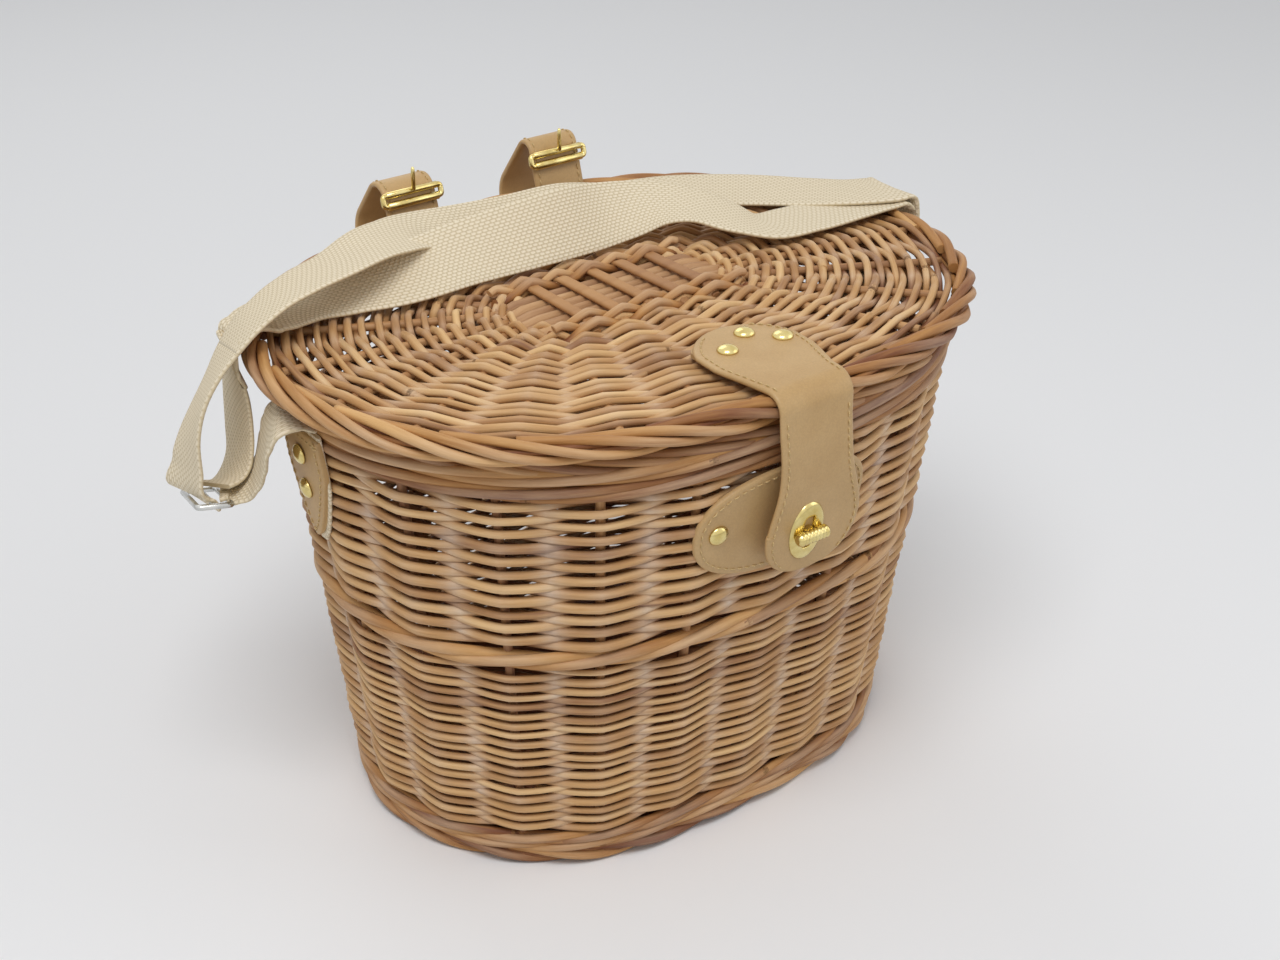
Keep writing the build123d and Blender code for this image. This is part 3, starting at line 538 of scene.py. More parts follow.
def weave_band(name, node, bottom, top, rows, radius, reach):
    """Thin rods woven in a climbing spiral round the stakes, each about once round."""
    pitch = (top - bottom - 2 * radius) / (rows - 1)
    tuck = 0.2 / STAKES
    paths = []
    start = 0.0
    while start < rows - 1:
        # A rod ends behind a stake, so at an odd one
        last_stake = round((start + chance.uniform(0.85, 1.35)) * STAKES)
        last_stake += 1 - last_stake % 2
        finish = min(last_stake / STAKES, rows - 1.0)
        t = np.linspace(start - tuck, finish + tuck, max(12, int((finish - start) * STAKES * 12)))
        phase = t * STAKES
        wobble = 0.35 * np.sin(t * 13.1 + chance.uniform(0, 6))
        wobble += 0.25 * np.sin(t * 37.0 + chance.uniform(0, 6))
        height = bottom + radius + pitch * np.clip(t, 0, rows - 1) + wobble * 0.8
        grow = WEAVE_MIDDLE + in_and_out(phase, reach) + 0.3 * np.sin(t * 29 + chance.uniform(0, 6))
        rod = radius * chance.uniform(0.86, 1.12) * (1 + 0.08 * np.sin(t * 5 + chance.uniform(0, 6)))
        # Partly real rubbing and partly painted sheen: paler where the rod stands out over a stake and where
        # it crosses between stakes
        over = np.clip(in_and_out(phase, 1.0), 0, 1)
        beside = 1 - np.abs(np.cos(math.pi * phase))
        wear_and_sheen = (0.5 * over**4 + 1.1 * beside**2) * chance.uniform(0.4, 1.0)
        # Painted shade: the half of each turn that passes behind the stakes is drawn darker than the half in
        # front
        shade_behind_stakes = np.clip(-in_and_out(phase, 1.0) + 0.1, 0, 1)
        tone_and_shade = np.clip(chance.normal(0.55, 0.16), 0.05, 0.95) - 0.6 * shade_behind_stakes
        paths.append((on_side(FIRST_STAKE + t, height, grow), rod, tone_and_shade, wear_and_sheen, UP))
        start = finish
    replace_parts(rods(name, paths, willow, "basket"), node)


def roped_wale(name, node, courses, grow, radius, lift, reach, stakes_per_turn):
    """Thick rods laid round the side as a rope: each passes over some stakes and behind one."""
    strands, samples, length, end = 3, 445, 1.06, 0.025
    paths = []
    for course in courses:
        for strand in range(strands):
            begun = chance.uniform(0, 1)
            t = np.linspace(begun, begun + length, samples)
            shift = strand / strands + 0.37 * course
            turn = 2 * math.pi * (t * round(STAKES / stakes_per_turn) - shift)
            height = course + lift * np.sin(turn) + 0.3 * np.sin(t * 31 + strand)
            # Both ends dive in behind the weave
            dive = np.clip(1 - np.minimum(t - begun, begun + length - t) / end, 0, 1)
            out = grow + reach * np.cos(turn) - 3.5 * dive
            # Partly real rubbing and partly painted sheen: paler on the outermost part of each turn
            wear_and_sheen = 0.5 * np.clip(np.cos(turn), 0, 1) ** 2
            rod = radius * (1 + 0.06 * np.sin(t * 23 + strand * 2))
            # A strand is three rods that run on into each other
            for part in np.array_split(np.arange(samples), 3):
                part = np.arange(part[0], min(part[-1] + 4, samples))
                tone_and_shade = np.clip(chance.normal(0.5, 0.2), 0.1, 0.95)
                points = on_side(FIRST_STAKE + t[part], height[part], out[part])
                paths.append((points, rod[part], tone_and_shade, wear_and_sheen[part], UP))
    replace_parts(rods(name, paths, willow_thick, "basket"), node)


def laid_border(name, node, body, line, count, span, ring, radius, angles, sway):
    """Rods laid one over the next: each comes up inside, goes over the outside and ends in a cut butt."""
    first_angle, last_angle = angles
    paths = []
    for k in range(count):
        t = np.linspace(0, 1, 44)
        share = k / count + span / count * t + chance.uniform(-0.004, 0.004)
        ease = 0.5 * t + 0.5 * (3 * t**2 - 2 * t**3)
        angle = np.radians(first_angle + (last_angle - first_angle) * ease)
        rise = ring * np.sin(angle) + sway * np.sin(t * 9 + k)
        rod = radius * chance.uniform(0.88, 1.1) * (1.08 - 0.22 * t)
        # Partly real rubbing and partly painted sheen: paler where the rod is on the outside of the border
        wear_and_sheen = 0.55 * np.clip(np.cos(angle), 0, 1) ** 2 * chance.uniform(0.4, 1)
        tone_and_shade = np.clip(chance.normal(0.5, 0.2), 0.08, 0.95)
        paths.append((line(share, rise, ring * np.cos(angle)), rod, tone_and_shade, wear_and_sheen, UP))
    # Two dark rods run on inside the others
    share = np.linspace(0, 1, 300)
    for turn in (0.6, 3.7):
        rise, out = ring * 0.3 * np.sin(turn + share * 60), ring * 0.3 * np.cos(turn + share * 60)
        paths.append((line(share, rise, out), radius * 0.85, 0.15, 0.0, UP))
    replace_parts(rods(name, paths, willow_thick, body, sides=10), node)


def foot_line(share, rise, grow):
    """Points near the middle line that the foot border's rods wind round."""
    return on_side(share, FOOT_MIDDLE + rise, grow - 2.8)


def rim_line(share, rise, grow):
    """The same for the rim's border."""
    return on_side(share, RIM_MIDDLE + rise, grow - 4.0)


def lid_edge_line(share, rise, grow):
    """The same for the lid's border."""
    return on_lid(share, LID_LEVEL + rise, grow)


bottom_courses = [bottom_low[2] + 3.2, bottom_high[2] - 2.8]
middle_courses = [(middle_low[2] + middle_high[2]) / 2]
top_courses = [WEAVE_TOP + 3.2, LAZY_TOP - 2.6]
side_stakes()
weave_band("lower_weave", "lower_side_weave", lower_low[2], lower_high[2], rows=36, radius=1.92, reach=4.4)
weave_band("upper_weave", "upper_side_weave", upper_low[2], WEAVE_TOP, rows=23, radius=2.25, reach=4.6)
roped_wale(
    "bottom_wale_rods", "bottom_wale", bottom_courses,
    grow=-1.9, radius=2.3, lift=1.4, reach=2.0, stakes_per_turn=3,
)
roped_wale(
    "middle_wale_rods", "middle_wale", middle_courses,
    grow=-1.6, radius=2.9, lift=2.3, reach=2.0, stakes_per_turn=3,
)
roped_wale(
    "top_wale_rods", "top_wale", top_courses,
    grow=-1.2, radius=2.5, lift=2.3, reach=1.7, stakes_per_turn=5,
)
laid_border(
    "foot_border_rods", "foot_border", "basket", foot_line,
    count=21, span=2.5, ring=3.0, radius=2.75, angles=(130, -140), sway=0.5,
)
laid_border(
    "rim_border_rods", "top_border", "basket", rim_line,
    count=30, span=4.4, ring=3.2, radius=2.2, angles=(150, -150), sway=0.0,
)


# The lid

WINDOW_LENGTH = window_high[0]
WINDOW_WIDTH = window_high[1] + 0.6
LID_ROWS = 32
SPOKES = 22
SPOKE_RADIUS = 2.3
STICKS = 5
STICK_PITCH = 2 * (WINDOW_LENGTH + 0.3) / (STICKS + 1)
STICK_X = (np.arange(STICKS) - (STICKS - 1) / 2) * STICK_PITCH
STICK_REACH, STICK_WIDTH, STICK_THICK = 33.0, 6.9, 2.8
BARE_RODS = 6
BARE_RADIUS = 3.15
TWINED_RADIUS = 2.2
WEAVE_LEVEL = (plate_low[2] + plate_high[2]) / 2


def lid_row(nearness, share, grow=0.0, rise=0.0):
    """Points on a ring of the lid's weave: nearness 0 is at the window and 1 at the border."""
    inner = (WINDOW_LENGTH + 7, WINDOW_WIDTH + 4.5, WINDOW_WIDTH - 0.5)
    outer = (LID_LENGTH - 7.2, LID_WIDTH - 7.2, LID_WIDTH - 14.7)
    length, width, end = [a + (b - a) * nearness for a, b in zip(inner, outer)]
    return on_oval(length, width, end, end, share, WEAVE_LEVEL + rise, grow)


def spoke_shares(nearness):
    """Where the spokes cross a ring: five follow the sticks at front and back, six fan out at each end."""
    fine = np.linspace(0, 1, 2001)
    ring = lid_row(0.0, fine)
    back = [np.interp(-x, -ring[:1001, 0], fine[:1001]) for x in STICK_X[::-1]]
    front = [np.interp(x, ring[1000:, 0], fine[1000:]) for x in STICK_X]
    right_step, left_step = (back[0] + 1 - front[-1]) / 7, (front[0] - back[-1]) / 7
    near_window = [right_step * (i + 0.5) for i in range(3)] + back
    near_window += [back[-1] + left_step * (i + 1) for i in range(6)] + front
    near_window += [1 - right_step * (i + 0.5) for i in (2, 1, 0)]
    even = (np.arange(SPOKES) + 0.5) / SPOKES
    mixing = 1 - (1 - nearness) ** 1.3
    return np.array(near_window) * (1 - mixing) + even * mixing


def lid_weave_rods():
    """Thin rods woven in rings round the window, over one spoke and under the next."""
    paths = []
    for row in range(LID_ROWS):
        nearness = row / (LID_ROWS - 1)
        spokes = spoke_shares(nearness)
        around = np.concatenate([[spokes[-1] - 1], spokes, [spokes[0] + 1]])
        start = chance.uniform(0, 1)
        t = np.linspace(start, start + 1.01, 380)
        phase = np.interp(t % 1.0, around, np.arange(-1, SPOKES + 1))
        wave = in_and_out(phase + row, 1.0)
        rise = (2.9 + 1.1 * (1 - nearness) ** 2) * wave + 0.4 * np.sin(t * 26 + row * 1.7)
        grow = 0.5 * np.sin(t * 19 + row * 2.3) + 0.3 * np.sin(t * 47 + row)
        rod = (1.92 + 0.25 * (1 - nearness)) * chance.uniform(0.84, 1.14) * (1 + 0.07 * np.sin(t * 8 + row))
        # Partly real rubbing and partly painted sheen: paler on the tops of the waves and where the rod
        # crosses between spokes
        wear_and_sheen = (0.5 * np.clip(wave, 0, 1) ** 4 + 0.6 * (1 - np.abs(wave)) ** 2) * chance.uniform(0.3, 1.0)
        # A ring is two rods that overlap
        for part in (slice(0, 200), slice(196, 380)):
            # Painted shade: each rod is drawn darker where it dips under a spoke
            tone_and_shade = np.clip(chance.normal(0.56, 0.15), 0.1, 0.97) - 0.5 * np.clip(-wave[part], 0, 1)
            points = lid_row(nearness, t[part], grow[part], rise[part])
            paths.append((points, rod[part], tone_and_shade, wear_and_sheen[part], UP))
    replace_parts(rods("lid_weave_rods", paths, willow, "lid"), "lid_weave")


def twined_rods():
    """Thick rods that zigzag over and under the cross sticks along the front and back of the window."""
    paths = []
    x = np.linspace(-WINDOW_LENGTH - 4, WINDOW_LENGTH + 4, 150)
    for side in (-1, 1):
        for row in range(3):
            zigzag = in_and_out(x / STICK_PITCH + row, 1.0)
            y = side * (WINDOW_WIDTH + 2.4 + 4.0 * row + 0.9 * np.abs(zigzag))
            points = np.stack([x, y, LID_TOP - 0.9 * row + 0.8 + 3.8 * zigzag], -1)
            radius = TWINED_RADIUS * chance.uniform(0.9, 1.08)
            # Painted shade where the rod dips under a stick, and a paler top that is partly real rubbing and
            # partly painted sheen
            tone_and_shade = chance.uniform(0.45, 0.8) - 0.5 * np.clip(-zigzag, 0, 1)
            paths.append((points, radius, tone_and_shade, 0.5 * np.clip(zigzag, 0, 1), UP))
    rods("twined_rods", paths, willow_thick, "lid", sides=10)


def lid_spoke_rods():
    """Ribs that the lid's rods are woven round."""
    paths = []
    for i in range(SPOKES):
        points = np.array([lid_row(n, np.array([spoke_shares(n)[i]]))[0] for n in np.linspace(0, 1, 26)])
        paths.append((points - 0.2 * UP, SPOKE_RADIUS, chance.uniform(0.3, 0.7), 0.2, UP))
    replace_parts(rods("lid_spoke_rods", paths, willow_thick, "lid"), "lid_spokes")


def window_rods():
    """Six thick bare rods side by side, with their ends tucked under the weave."""
    paths = []
    pitch = 2 * (WINDOW_WIDTH + 0.4) / BARE_RODS
    x = np.linspace(-WINDOW_LENGTH - 9, WINDOW_LENGTH + 9, 60)
    sag = np.clip((np.abs(x) - WINDOW_LENGTH + 4) / 12, 0, 1)
    for row in range(BARE_RODS):
        y = (row - (BARE_RODS - 1) / 2) * pitch * (1 - 0.12 * sag) + 0.35 * np.sin(x * 0.05 + row * 2)
        height = WEAVE_LEVEL + 0.8 - 2.0 * sag + 0.3 * np.sin(x * 0.07 + row)
        radius = BARE_RADIUS * (1 + 0.05 * np.sin(x * 0.06 + row * 3))
        paths.append((np.stack([x, y, height], -1), radius, chance.uniform(0.35, 0.8), 0.35, UP))
    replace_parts(rods("window_rods", paths, willow_thick, "lid", sides=12), "lid_centre_rods")


def cross_sticks():
    """Five flat split sticks over the bare rods, whose ends dive into the weave."""
    y = np.linspace(-STICK_REACH, STICK_REACH, 50)
    dive = np.clip((np.abs(y) - 22) / 11, 0, 1)
    height = LID_TOP + 1.6 - 4.6 * (3 * dive**2 - 2 * dive**3)
    for i, x in enumerate(STICK_X):
        path = np.stack([x + 0.4 * np.sin(y * 0.06 + i), y, height], -1)
        values = {"tone_and_shade": chance.uniform(0.35, 0.6), "wear_and_sheen": 0.15}
        piece = strip(
            f"cross_stick_{i + 1}", path, (1.0, 0, 0.06 * math.sin(i * 2.1)), STICK_WIDTH - 1.8 * dive,
            STICK_THICK, willow_thick, "lid", uv_name="rod", values=values,
        )
        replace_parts(piece, "lid_cross_sticks")


lid_weave_rods()
twined_rods()
lid_spoke_rods()
window_rods()
cross_sticks()
laid_border(
    "lid_border_rods", "lid_border", "lid", lid_edge_line,
    count=36, span=4.3, ring=4.7, radius=2.4, angles=(140, -150), sway=0.4,
)


# The hinge straps and their buckles

LEATHER = 2.8
HINGE_Y = LID_WIDTH
LOOP_RADIUS = 18.6
STRAP_WIDTH = 32.0
STITCH_INSET = 3.0
STITCH_LEVEL = 0.05  # how far the stitches' middle line is off the leather
BUCKLE_HALF_WIDTH, BUCKLE_HALF_DEPTH, BUCKLE_CORNER = 17.9, 2.9, 1.6
BUCKLE_WIRE = 1.55
BAR_LENGTH = 32.0


def strap_loop(x, top, top_radius, grow):
    """The closed line of a hinge strap: round the border, up both sides and over the top."""
    turn = math.atan2(top[1], top[0])
    shrink = LOOP_RADIUS - top_radius
    spread = math.atan2(math.sqrt(top[0] ** 2 + top[1] ** 2 - shrink**2), shrink)
    front, back = turn + spread, turn - spread
    low, high = np.linspace(front, back + 2 * math.pi, 40), np.linspace(back, front, 24)
    lower = np.stack([np.cos(low), np.sin(low)], -1) * (LOOP_RADIUS + grow)
    upper = np.array(top) + np.stack([np.cos(high), np.sin(high)], -1) * (top_radius + grow)
    rise = np.linspace(0, 1, 10)[1:-1, None]
    up_back, down_front = lower[-1] + (upper[0] - lower[-1]) * rise, upper[-1] + (lower[0] - upper[-1]) * rise
    loop = np.vstack([lower, up_back, upper, down_front]) + [HINGE_Y, LID_LEVEL]
    return np.column_stack([np.full(len(loop), x), loop]), front


def hinge_strap(side, x, top, top_radius, share):
    """A stitched leather loop: top is its upper bend's middle, and share is how far up the buckle sits."""
    loop, front = strap_loop(x, top, top_radius, LEATHER / 2)
    name = f"hinge_strap_{side}"
    strap = strip(f"{name}_leather", loop, LENGTHWAYS, STRAP_WIDTH, LEATHER, leather, "lid", closed=True)
    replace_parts(strap, name)
    line, _ = strap_loop(x, top, top_radius, LEATHER + STITCH_LEVEL)
    line = np.vstack([line, line[:1]])
    out = np.cross(unit(np.gradient(line, axis=0)), LENGTHWAYS)
    inset = LENGTHWAYS * (STRAP_WIDTH / 2 - STITCH_INSET)
    stitches(f"{name}_stitching", [(line - inset, out), (line + inset, out)], "lid")
    # The buckle's wire frame, with a roller on each long bar
    face = np.array([0, math.cos(front), math.sin(front)])
    low = np.array([x, HINGE_Y, LID_LEVEL]) + face * (LOOP_RADIUS + LEATHER + 0.3)
    high = np.array([x, HINGE_Y + top[0], LID_LEVEL + top[1]]) + face * (top_radius + LEATHER + 0.3)
    up = unit(high - low)
    middle = low + (high - low) * share + face * 1.6 + up * 4.0
    line = wire_frame(middle, LENGTHWAYS, up, BUCKLE_HALF_WIDTH, BUCKLE_HALF_DEPTH, BUCKLE_CORNER)
    wire = rods(f"buckle_wire_{side}", [(line, BUCKLE_WIRE, 0.5, 0, face)], brass, "lid", sides=12)
    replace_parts(wire, f"buckle_frame_{side}")
    for place, rise, radius in (("lower", -BUCKLE_HALF_DEPTH, 2.2), ("upper", BUCKLE_HALF_DEPTH, 1.9)):
        roller = [(radius - 0.5, 0), (radius, 0.5), (radius, BAR_LENGTH - 0.5), (radius - 0.5, BAR_LENGTH)]
        left_end = middle + up * rise - LENGTHWAYS * BAR_LENGTH / 2
        turned(f"buckle_bar_{side}_{place}", roller, [(left_end, LENGTHWAYS)], brass, "lid")


def prong(side):
    """The buckle's pin, which stands up from the line that it swings about."""
    pin = [(0.6, 0), (1.15, 0.6), (1.15, 9.5), (0.95, 12), (0.5, 13)]
    piece = turned(f"prong_{side}", pin, [(pivots[f"prong_{side}_swing"], UP)], brass, f"prong_{side}")
    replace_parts(piece, f"buckle_prong_{side}")


hinge_strap("left", -41.0, (-4.5, 24.0), 7.0, 0.76)
hinge_strap("right", 54.5, (-6.0, 31.0), 4.5, 0.68)
prong("left")
prong("right")


# The tongue over the turn lock

CLASP_X = -3.0
lock_point, lock_out = front_spot(CLASP_X, 191.5, 4.6)
lock_across = unit(np.cross(lock_out, UP))
lock_up = unit(np.cross(lock_across, lock_out))
TONGUE_BACK = 6.6  # from the lock's point to the back of the leather
TONGUE_REACH = 66.0  # from the border's middle line back to the rounded end on the lid
HEAD_SHIFT = 5.0  # the head is riveted on a little to the right of the lock
HEAD_HALF, NECK_HALF, TAIL_HALF = 30.0, 22.0, 29.0
TONGUE_GAP = 0.6  # between the leather and the border's rods
fold_radius = LID_RADIUS + TONGUE_GAP + LEATHER / 2
SLOT_HALF_WIDTH, SLOT_HALF_HEIGHT = 3.4, 10.0


def tongue_path():
    """The leather's middle line: flat on the lid, round the border and down the front."""
    head_level = LID_LEVEL + fold_radius
    head = [(y, head_level) for y in np.linspace(-LID_WIDTH + TONGUE_REACH, -LID_WIDTH, 40)]
    bend = []
    for angle in np.linspace(0, math.pi / 2, 16)[1:]:
        bend.append((-LID_WIDTH - fold_radius * math.sin(angle), LID_LEVEL + fold_radius * math.cos(angle)))
    middle = lock_point + lock_out * (TONGUE_BACK + LEATHER / 2)
    above, below = middle + lock_up * 30, middle - lock_up * 24
    y, z = bend[-1]
    slack = ((y + above[1]) / 2 - 0.8, (z + above[2]) / 2)
    fall = smooth_line([[0, *place] for place in ((y, z), slack, above[1:], middle[1:], below[1:])], 1.2)[0]
    line = np.array(head + bend + fall[1:, 1:].tolist())
    path = np.column_stack([np.full(len(line), CLASP_X), line])
    from_bend, from_end = -LID_WIDTH - LID_LEVEL, -LID_WIDTH + TONGUE_REACH - head_level
    path[:, 0] += np.interp(path[:, 1] - path[:, 2], [from_bend, from_end], [0, HEAD_SHIFT])
    return path


def tongue_half(reach):
    """Half its width along its length: a wide head, a narrower neck and a wide tail, both ends rounded."""
    total = reach[-1]
    widths = [
        (0, HEAD_HALF), (30, HEAD_HALF), (66, 22.6), (82, NECK_HALF),
        (total - 54, 22.6), (total - 26, TAIL_HALF), (total, TAIL_HALF),
    ]
    half = smooth_line([[place, 0, 0, width] for place, width in widths], 1.0)[0]
    half = np.interp(reach, half[:, 0], half[:, 3])
    from_head, from_tail = np.clip(1 - reach / 30, 0, 1), np.clip(1 - (total - reach) / 26, 0, 1)
    rounded_head = HEAD_HALF * np.sqrt(1 - from_head**2)
    rounded_tail = TAIL_HALF * (1 - from_tail**2.3) ** (1 / 2.3)
    return np.maximum(np.minimum(half, np.minimum(rounded_head, rounded_tail)), 0.6)


def cut_slot(piece):
    """Cuts the tall slot that the turn lock goes through."""
    middle = lock_point + lock_out * (TONGUE_BACK + LEATHER / 2)
    count = 32
    ring = circle_angles(count)[:, None]
    edge = np.cos(ring) * lock_across * SLOT_HALF_WIDTH + np.sin(ring) * lock_up * SLOT_HALF_HEIGHT
    corners = np.vstack([middle - lock_out * 8 + edge, middle + lock_out * 8 + edge])
    faces = ring_faces(2, count)[0].tolist() + [list(range(count - 1, -1, -1)), list(range(count, 2 * count))]
    cutter = finish_piece("slot_cutter", corners, faces, leather, None)
    cut = piece.modifiers.new("slot", "BOOLEAN")
    cut.object, cut.operation, cut.solver = cutter, "DIFFERENCE", "EXACT"
    bpy.context.view_layer.update()
    piece.data = bpy.data.meshes.new_from_object(piece.evaluated_get(bpy.context.evaluated_depsgraph_get()))
    piece.modifiers.clear()
    bpy.data.objects.remove(cutter)


def tongue():
    """One strip of leather with its stitching: a head on the lid, a bend over the border and a wide tail."""
    path = tongue_path()
    reach = lengths_along(path)
    half = tongue_half(reach)
    piece = strip("tongue_leather", path, LENGTHWAYS, 2 * half, LEATHER, leather, None, lanes=14)
    cut_slot(piece)
    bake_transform(piece)
    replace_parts(piece, "clasp_head", "clasp_fold", "clasp_tail")
    # Stitching follows both edges, and stops at the fold
    out = np.cross(unit(np.gradient(path, axis=0)), LENGTHWAYS)
    surface = path + out * (LEATHER / 2 + STITCH_LEVEL)
    inset = LENGTHWAYS * np.maximum(half - STITCH_INSET - 0.2, 0)[:, None]
    on_lid_part, on_tail = (reach > 5) & (reach < 70), (reach > 84) & (reach < reach[-1] - 5)
    for body, part in (("lid", on_lid_part), ("clasp", on_tail)):
        lines = [(edge[part], out[part]) for edge in (surface - inset, surface + inset)]
        stitches(f"tongue_stitching_{body}", lines, body)


tongue()


# Leather patches on the side

TAB_FOOT = 176.0
TAB_LENGTH = 58.5
TAB_HALF = 18.8
TAB_Y = 8.0
TAB_MIDDLE = 206.0
PATCH_BACK, PATCH_FACE = 1.55, 4.3  # how far off the side's face the backing patch starts and ends
TAB_BACK, TAB_FACE = 3.7, 6.5


def rounded_shape(count, half_length, half_height, squareness):
    """Points on an oval that is squarer than an ellipse where squareness is more than 2."""
    angle = circle_angles(count)
    ways = np.stack([np.cos(angle), np.sin(angle)], -1)
    return [half_length, half_height] * np.sign(ways) * np.abs(ways) ** (2 / squareness)


def leather_patch(name, node, spot, middle, outline, back, face):
    """A patch pressed to the curve of the side: its outline is drawn flat, and spot puts it off the face."""
    count = len(outline)
    rings = [(1.0, back), (1.0, face - 0.7), (0.985, face - 0.2), (0.96, face)]
    rings += [(share, face) for share in (0.8, 0.6, 0.4, 0.2, 0.02)]
    corners = [spot(*(middle + outline * share).T, grow)[0] for share, grow in rings]
    faces = ring_faces(len(rings), count, flip=True)[0].tolist()
    faces.append(list(range(len(rings) * count - 1, (len(rings) - 1) * count - 1, -1)))
    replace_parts(finish_piece(f"{name}_leather", np.vstack(corners), faces, leather, "basket"), node)
    closed = np.vstack([outline, outline[:1]])
    side_ways = unit(np.gradient(closed, axis=0))[:, ::-1] * [1, -1]
    inset = STITCH_INSET + 0.1
    inward = side_ways * np.where(np.sum(side_ways * closed, axis=1) > 0, -inset, inset)[:, None]
    stitches(f"{name}_stitching", [spot(*(middle + closed + inward).T, face + STITCH_LEVEL)], "basket")


def leaf_half(height):
    """Half the width of a tab: full near its top, and drawn in below to a blunt point."""
    fullness = np.clip((height - TAB_FOOT) / 38.0, 0, 1) ** 0.62
    return TAB_HALF * fullness * (1 - 0.06 * np.clip((height - 214) / 20, 0, 1) ** 2)


def end_tab(side, name):
    """A leaf-shaped tab that clamps the webbing to the end of the basket."""
    height = TAB_FOOT + TAB_LENGTH * (1 - np.cos(np.linspace(0, math.pi, 50))) / 2
    half = leaf_half(height)
    edge = np.stack([half, height - TAB_MIDDLE], -1)
    outline = np.vstack([edge, (edge * [-1, 1])[::-1][:-1]])
    tab, spot = f"end_tab_{name}", partial(end_spot, side)
    leather_patch(tab, tab, spot, (TAB_Y, TAB_MIDDLE), outline[::side], TAB_BACK, TAB_FACE)


# The blunt oval patch behind the lock
patch_outline = rounded_shape(96, 51.0, 28.0, 2.35)
leather_patch("backing", "clasp_backing", front_spot, (-8.0, 196.0), patch_outline, PATCH_BACK, PATCH_FACE)
end_tab(-1, "left")
end_tab(1, "right")


# Rivets, eyelet, lock and slide buckle


def rivet_heads(name, node, spots, body):
    """Low brass domes, each at a spot with its way out of the leather."""
    dome = [(5.1, 0), (5.3, 0.5), (4.8, 1.4), (3.6, 2.3), (1.9, 2.9), (0.3, 3.1)]
    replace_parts(turned(name, dome, spots, brass, body), node)


head_top = LID_LEVEL + LID_RADIUS + TONGUE_GAP + LEATHER - 0.05
head_spots = [((x, y, head_top), UP) for x, y in ((-12.5, -101.5), (6.5, -91.0), (19.0, -104.5))]
rivet_heads("tongue_rivets", "clasp_rivets", head_spots, "lid")
patch_spots = [front_spot(x, 197.5, PATCH_FACE - 0.05) for x in (-47.0, 31.0)]
rivet_heads("patch_rivets", "backing_rivets", patch_spots, "basket")
for way, end_name in ((-1, "left"), (1, "right")):
    tab_spots = [end_spot(way, TAB_Y, height, TAB_FACE + 0.05) for height in (222.0, 203.0)]
    rivet_heads(f"{end_name}_tab_rivets", f"tab_rivets_{end_name}", tab_spots, "basket")


def eyelet():
    """The pressed brass plate round the slot: an oval that rises to a rounded rim, with an upright window."""
    count = 64
    face = lock_point + lock_out * (TONGUE_BACK + LEATHER + 0.25)
    window, edge = rounded_shape(count, 3.5, 8.8, 4.0), rounded_shape(count, 10.4, 16.3, 2.0)
    rings = [(0.0, -2.6), (0.0, 1.5), (0.1, 1.9), (0.3, 1.75)]
    rings += [(0.62, 1.65), (0.84, 1.3), (0.96, 0.6), (1.0, 0.0)]
    corners = []
    for share, rise in rings:
        flat = window + (edge - window) * share
        corners.append(face + flat[:, :1] * lock_across + flat[:, 1:] * lock_up + lock_out * rise)
    faces = ring_faces(len(rings), count)[0].tolist()
    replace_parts(finish_piece("eyelet_brass", np.vstack(corners), faces, brass, "clasp"), "eyelet_plate")


def turn_lock():
    """The lock's ribbed turning bar on its stem."""
    middle = lock_point + lock_out * 14.2
    profile = [(1.6, 0), (2.6, 0.5)]
    for rib in range(8):
        start = 1.0 + rib * 2.15
        profile += [(2.9, start), (3.35, start + 0.5), (3.35, start + 1.3), (2.9, start + 1.8)]
    profile += [(2.6, 18.5), (1.6, 19)]
    bar = turned("knob_bar", profile, [(middle - lock_across * 9.5, lock_across)], brass, "knob")
    turned("knob_stem", [(2.4, 0), (2.4, 2.2)], [(middle - lock_out * 2.2, lock_out)], brass, "knob")
    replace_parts(bar, "turn_knob")


def slide_buckle():
    """A flat steel frame with a bar across its middle, bent from wire and pressed flat."""
    across = unit([0.24, 0.93, -0.28])
    out = unit(np.cross(across, [-0.96, 0.26, 0.09]))
    middle = np.array([-213.5, 47.5, LID_TOP - 71.0])
    line = wire_frame(middle, across, np.cross(out, across), 21.9, 8.1, 2.5)
    bar = np.linspace(middle - across * 21, middle + across * 21, 4)
    paths = [(line, 1.5, 0.5, 0, out), (bar, 1.4, 0.5, 0, out)]
    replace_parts(rods("slide_buckle_wire", paths, steel, "basket", sides=12), "slide_buckle")


eyelet()
turn_lock()
slide_buckle()


# The webbing

# A station is a point, with its height counted from the top of the lid's weave, and the way across

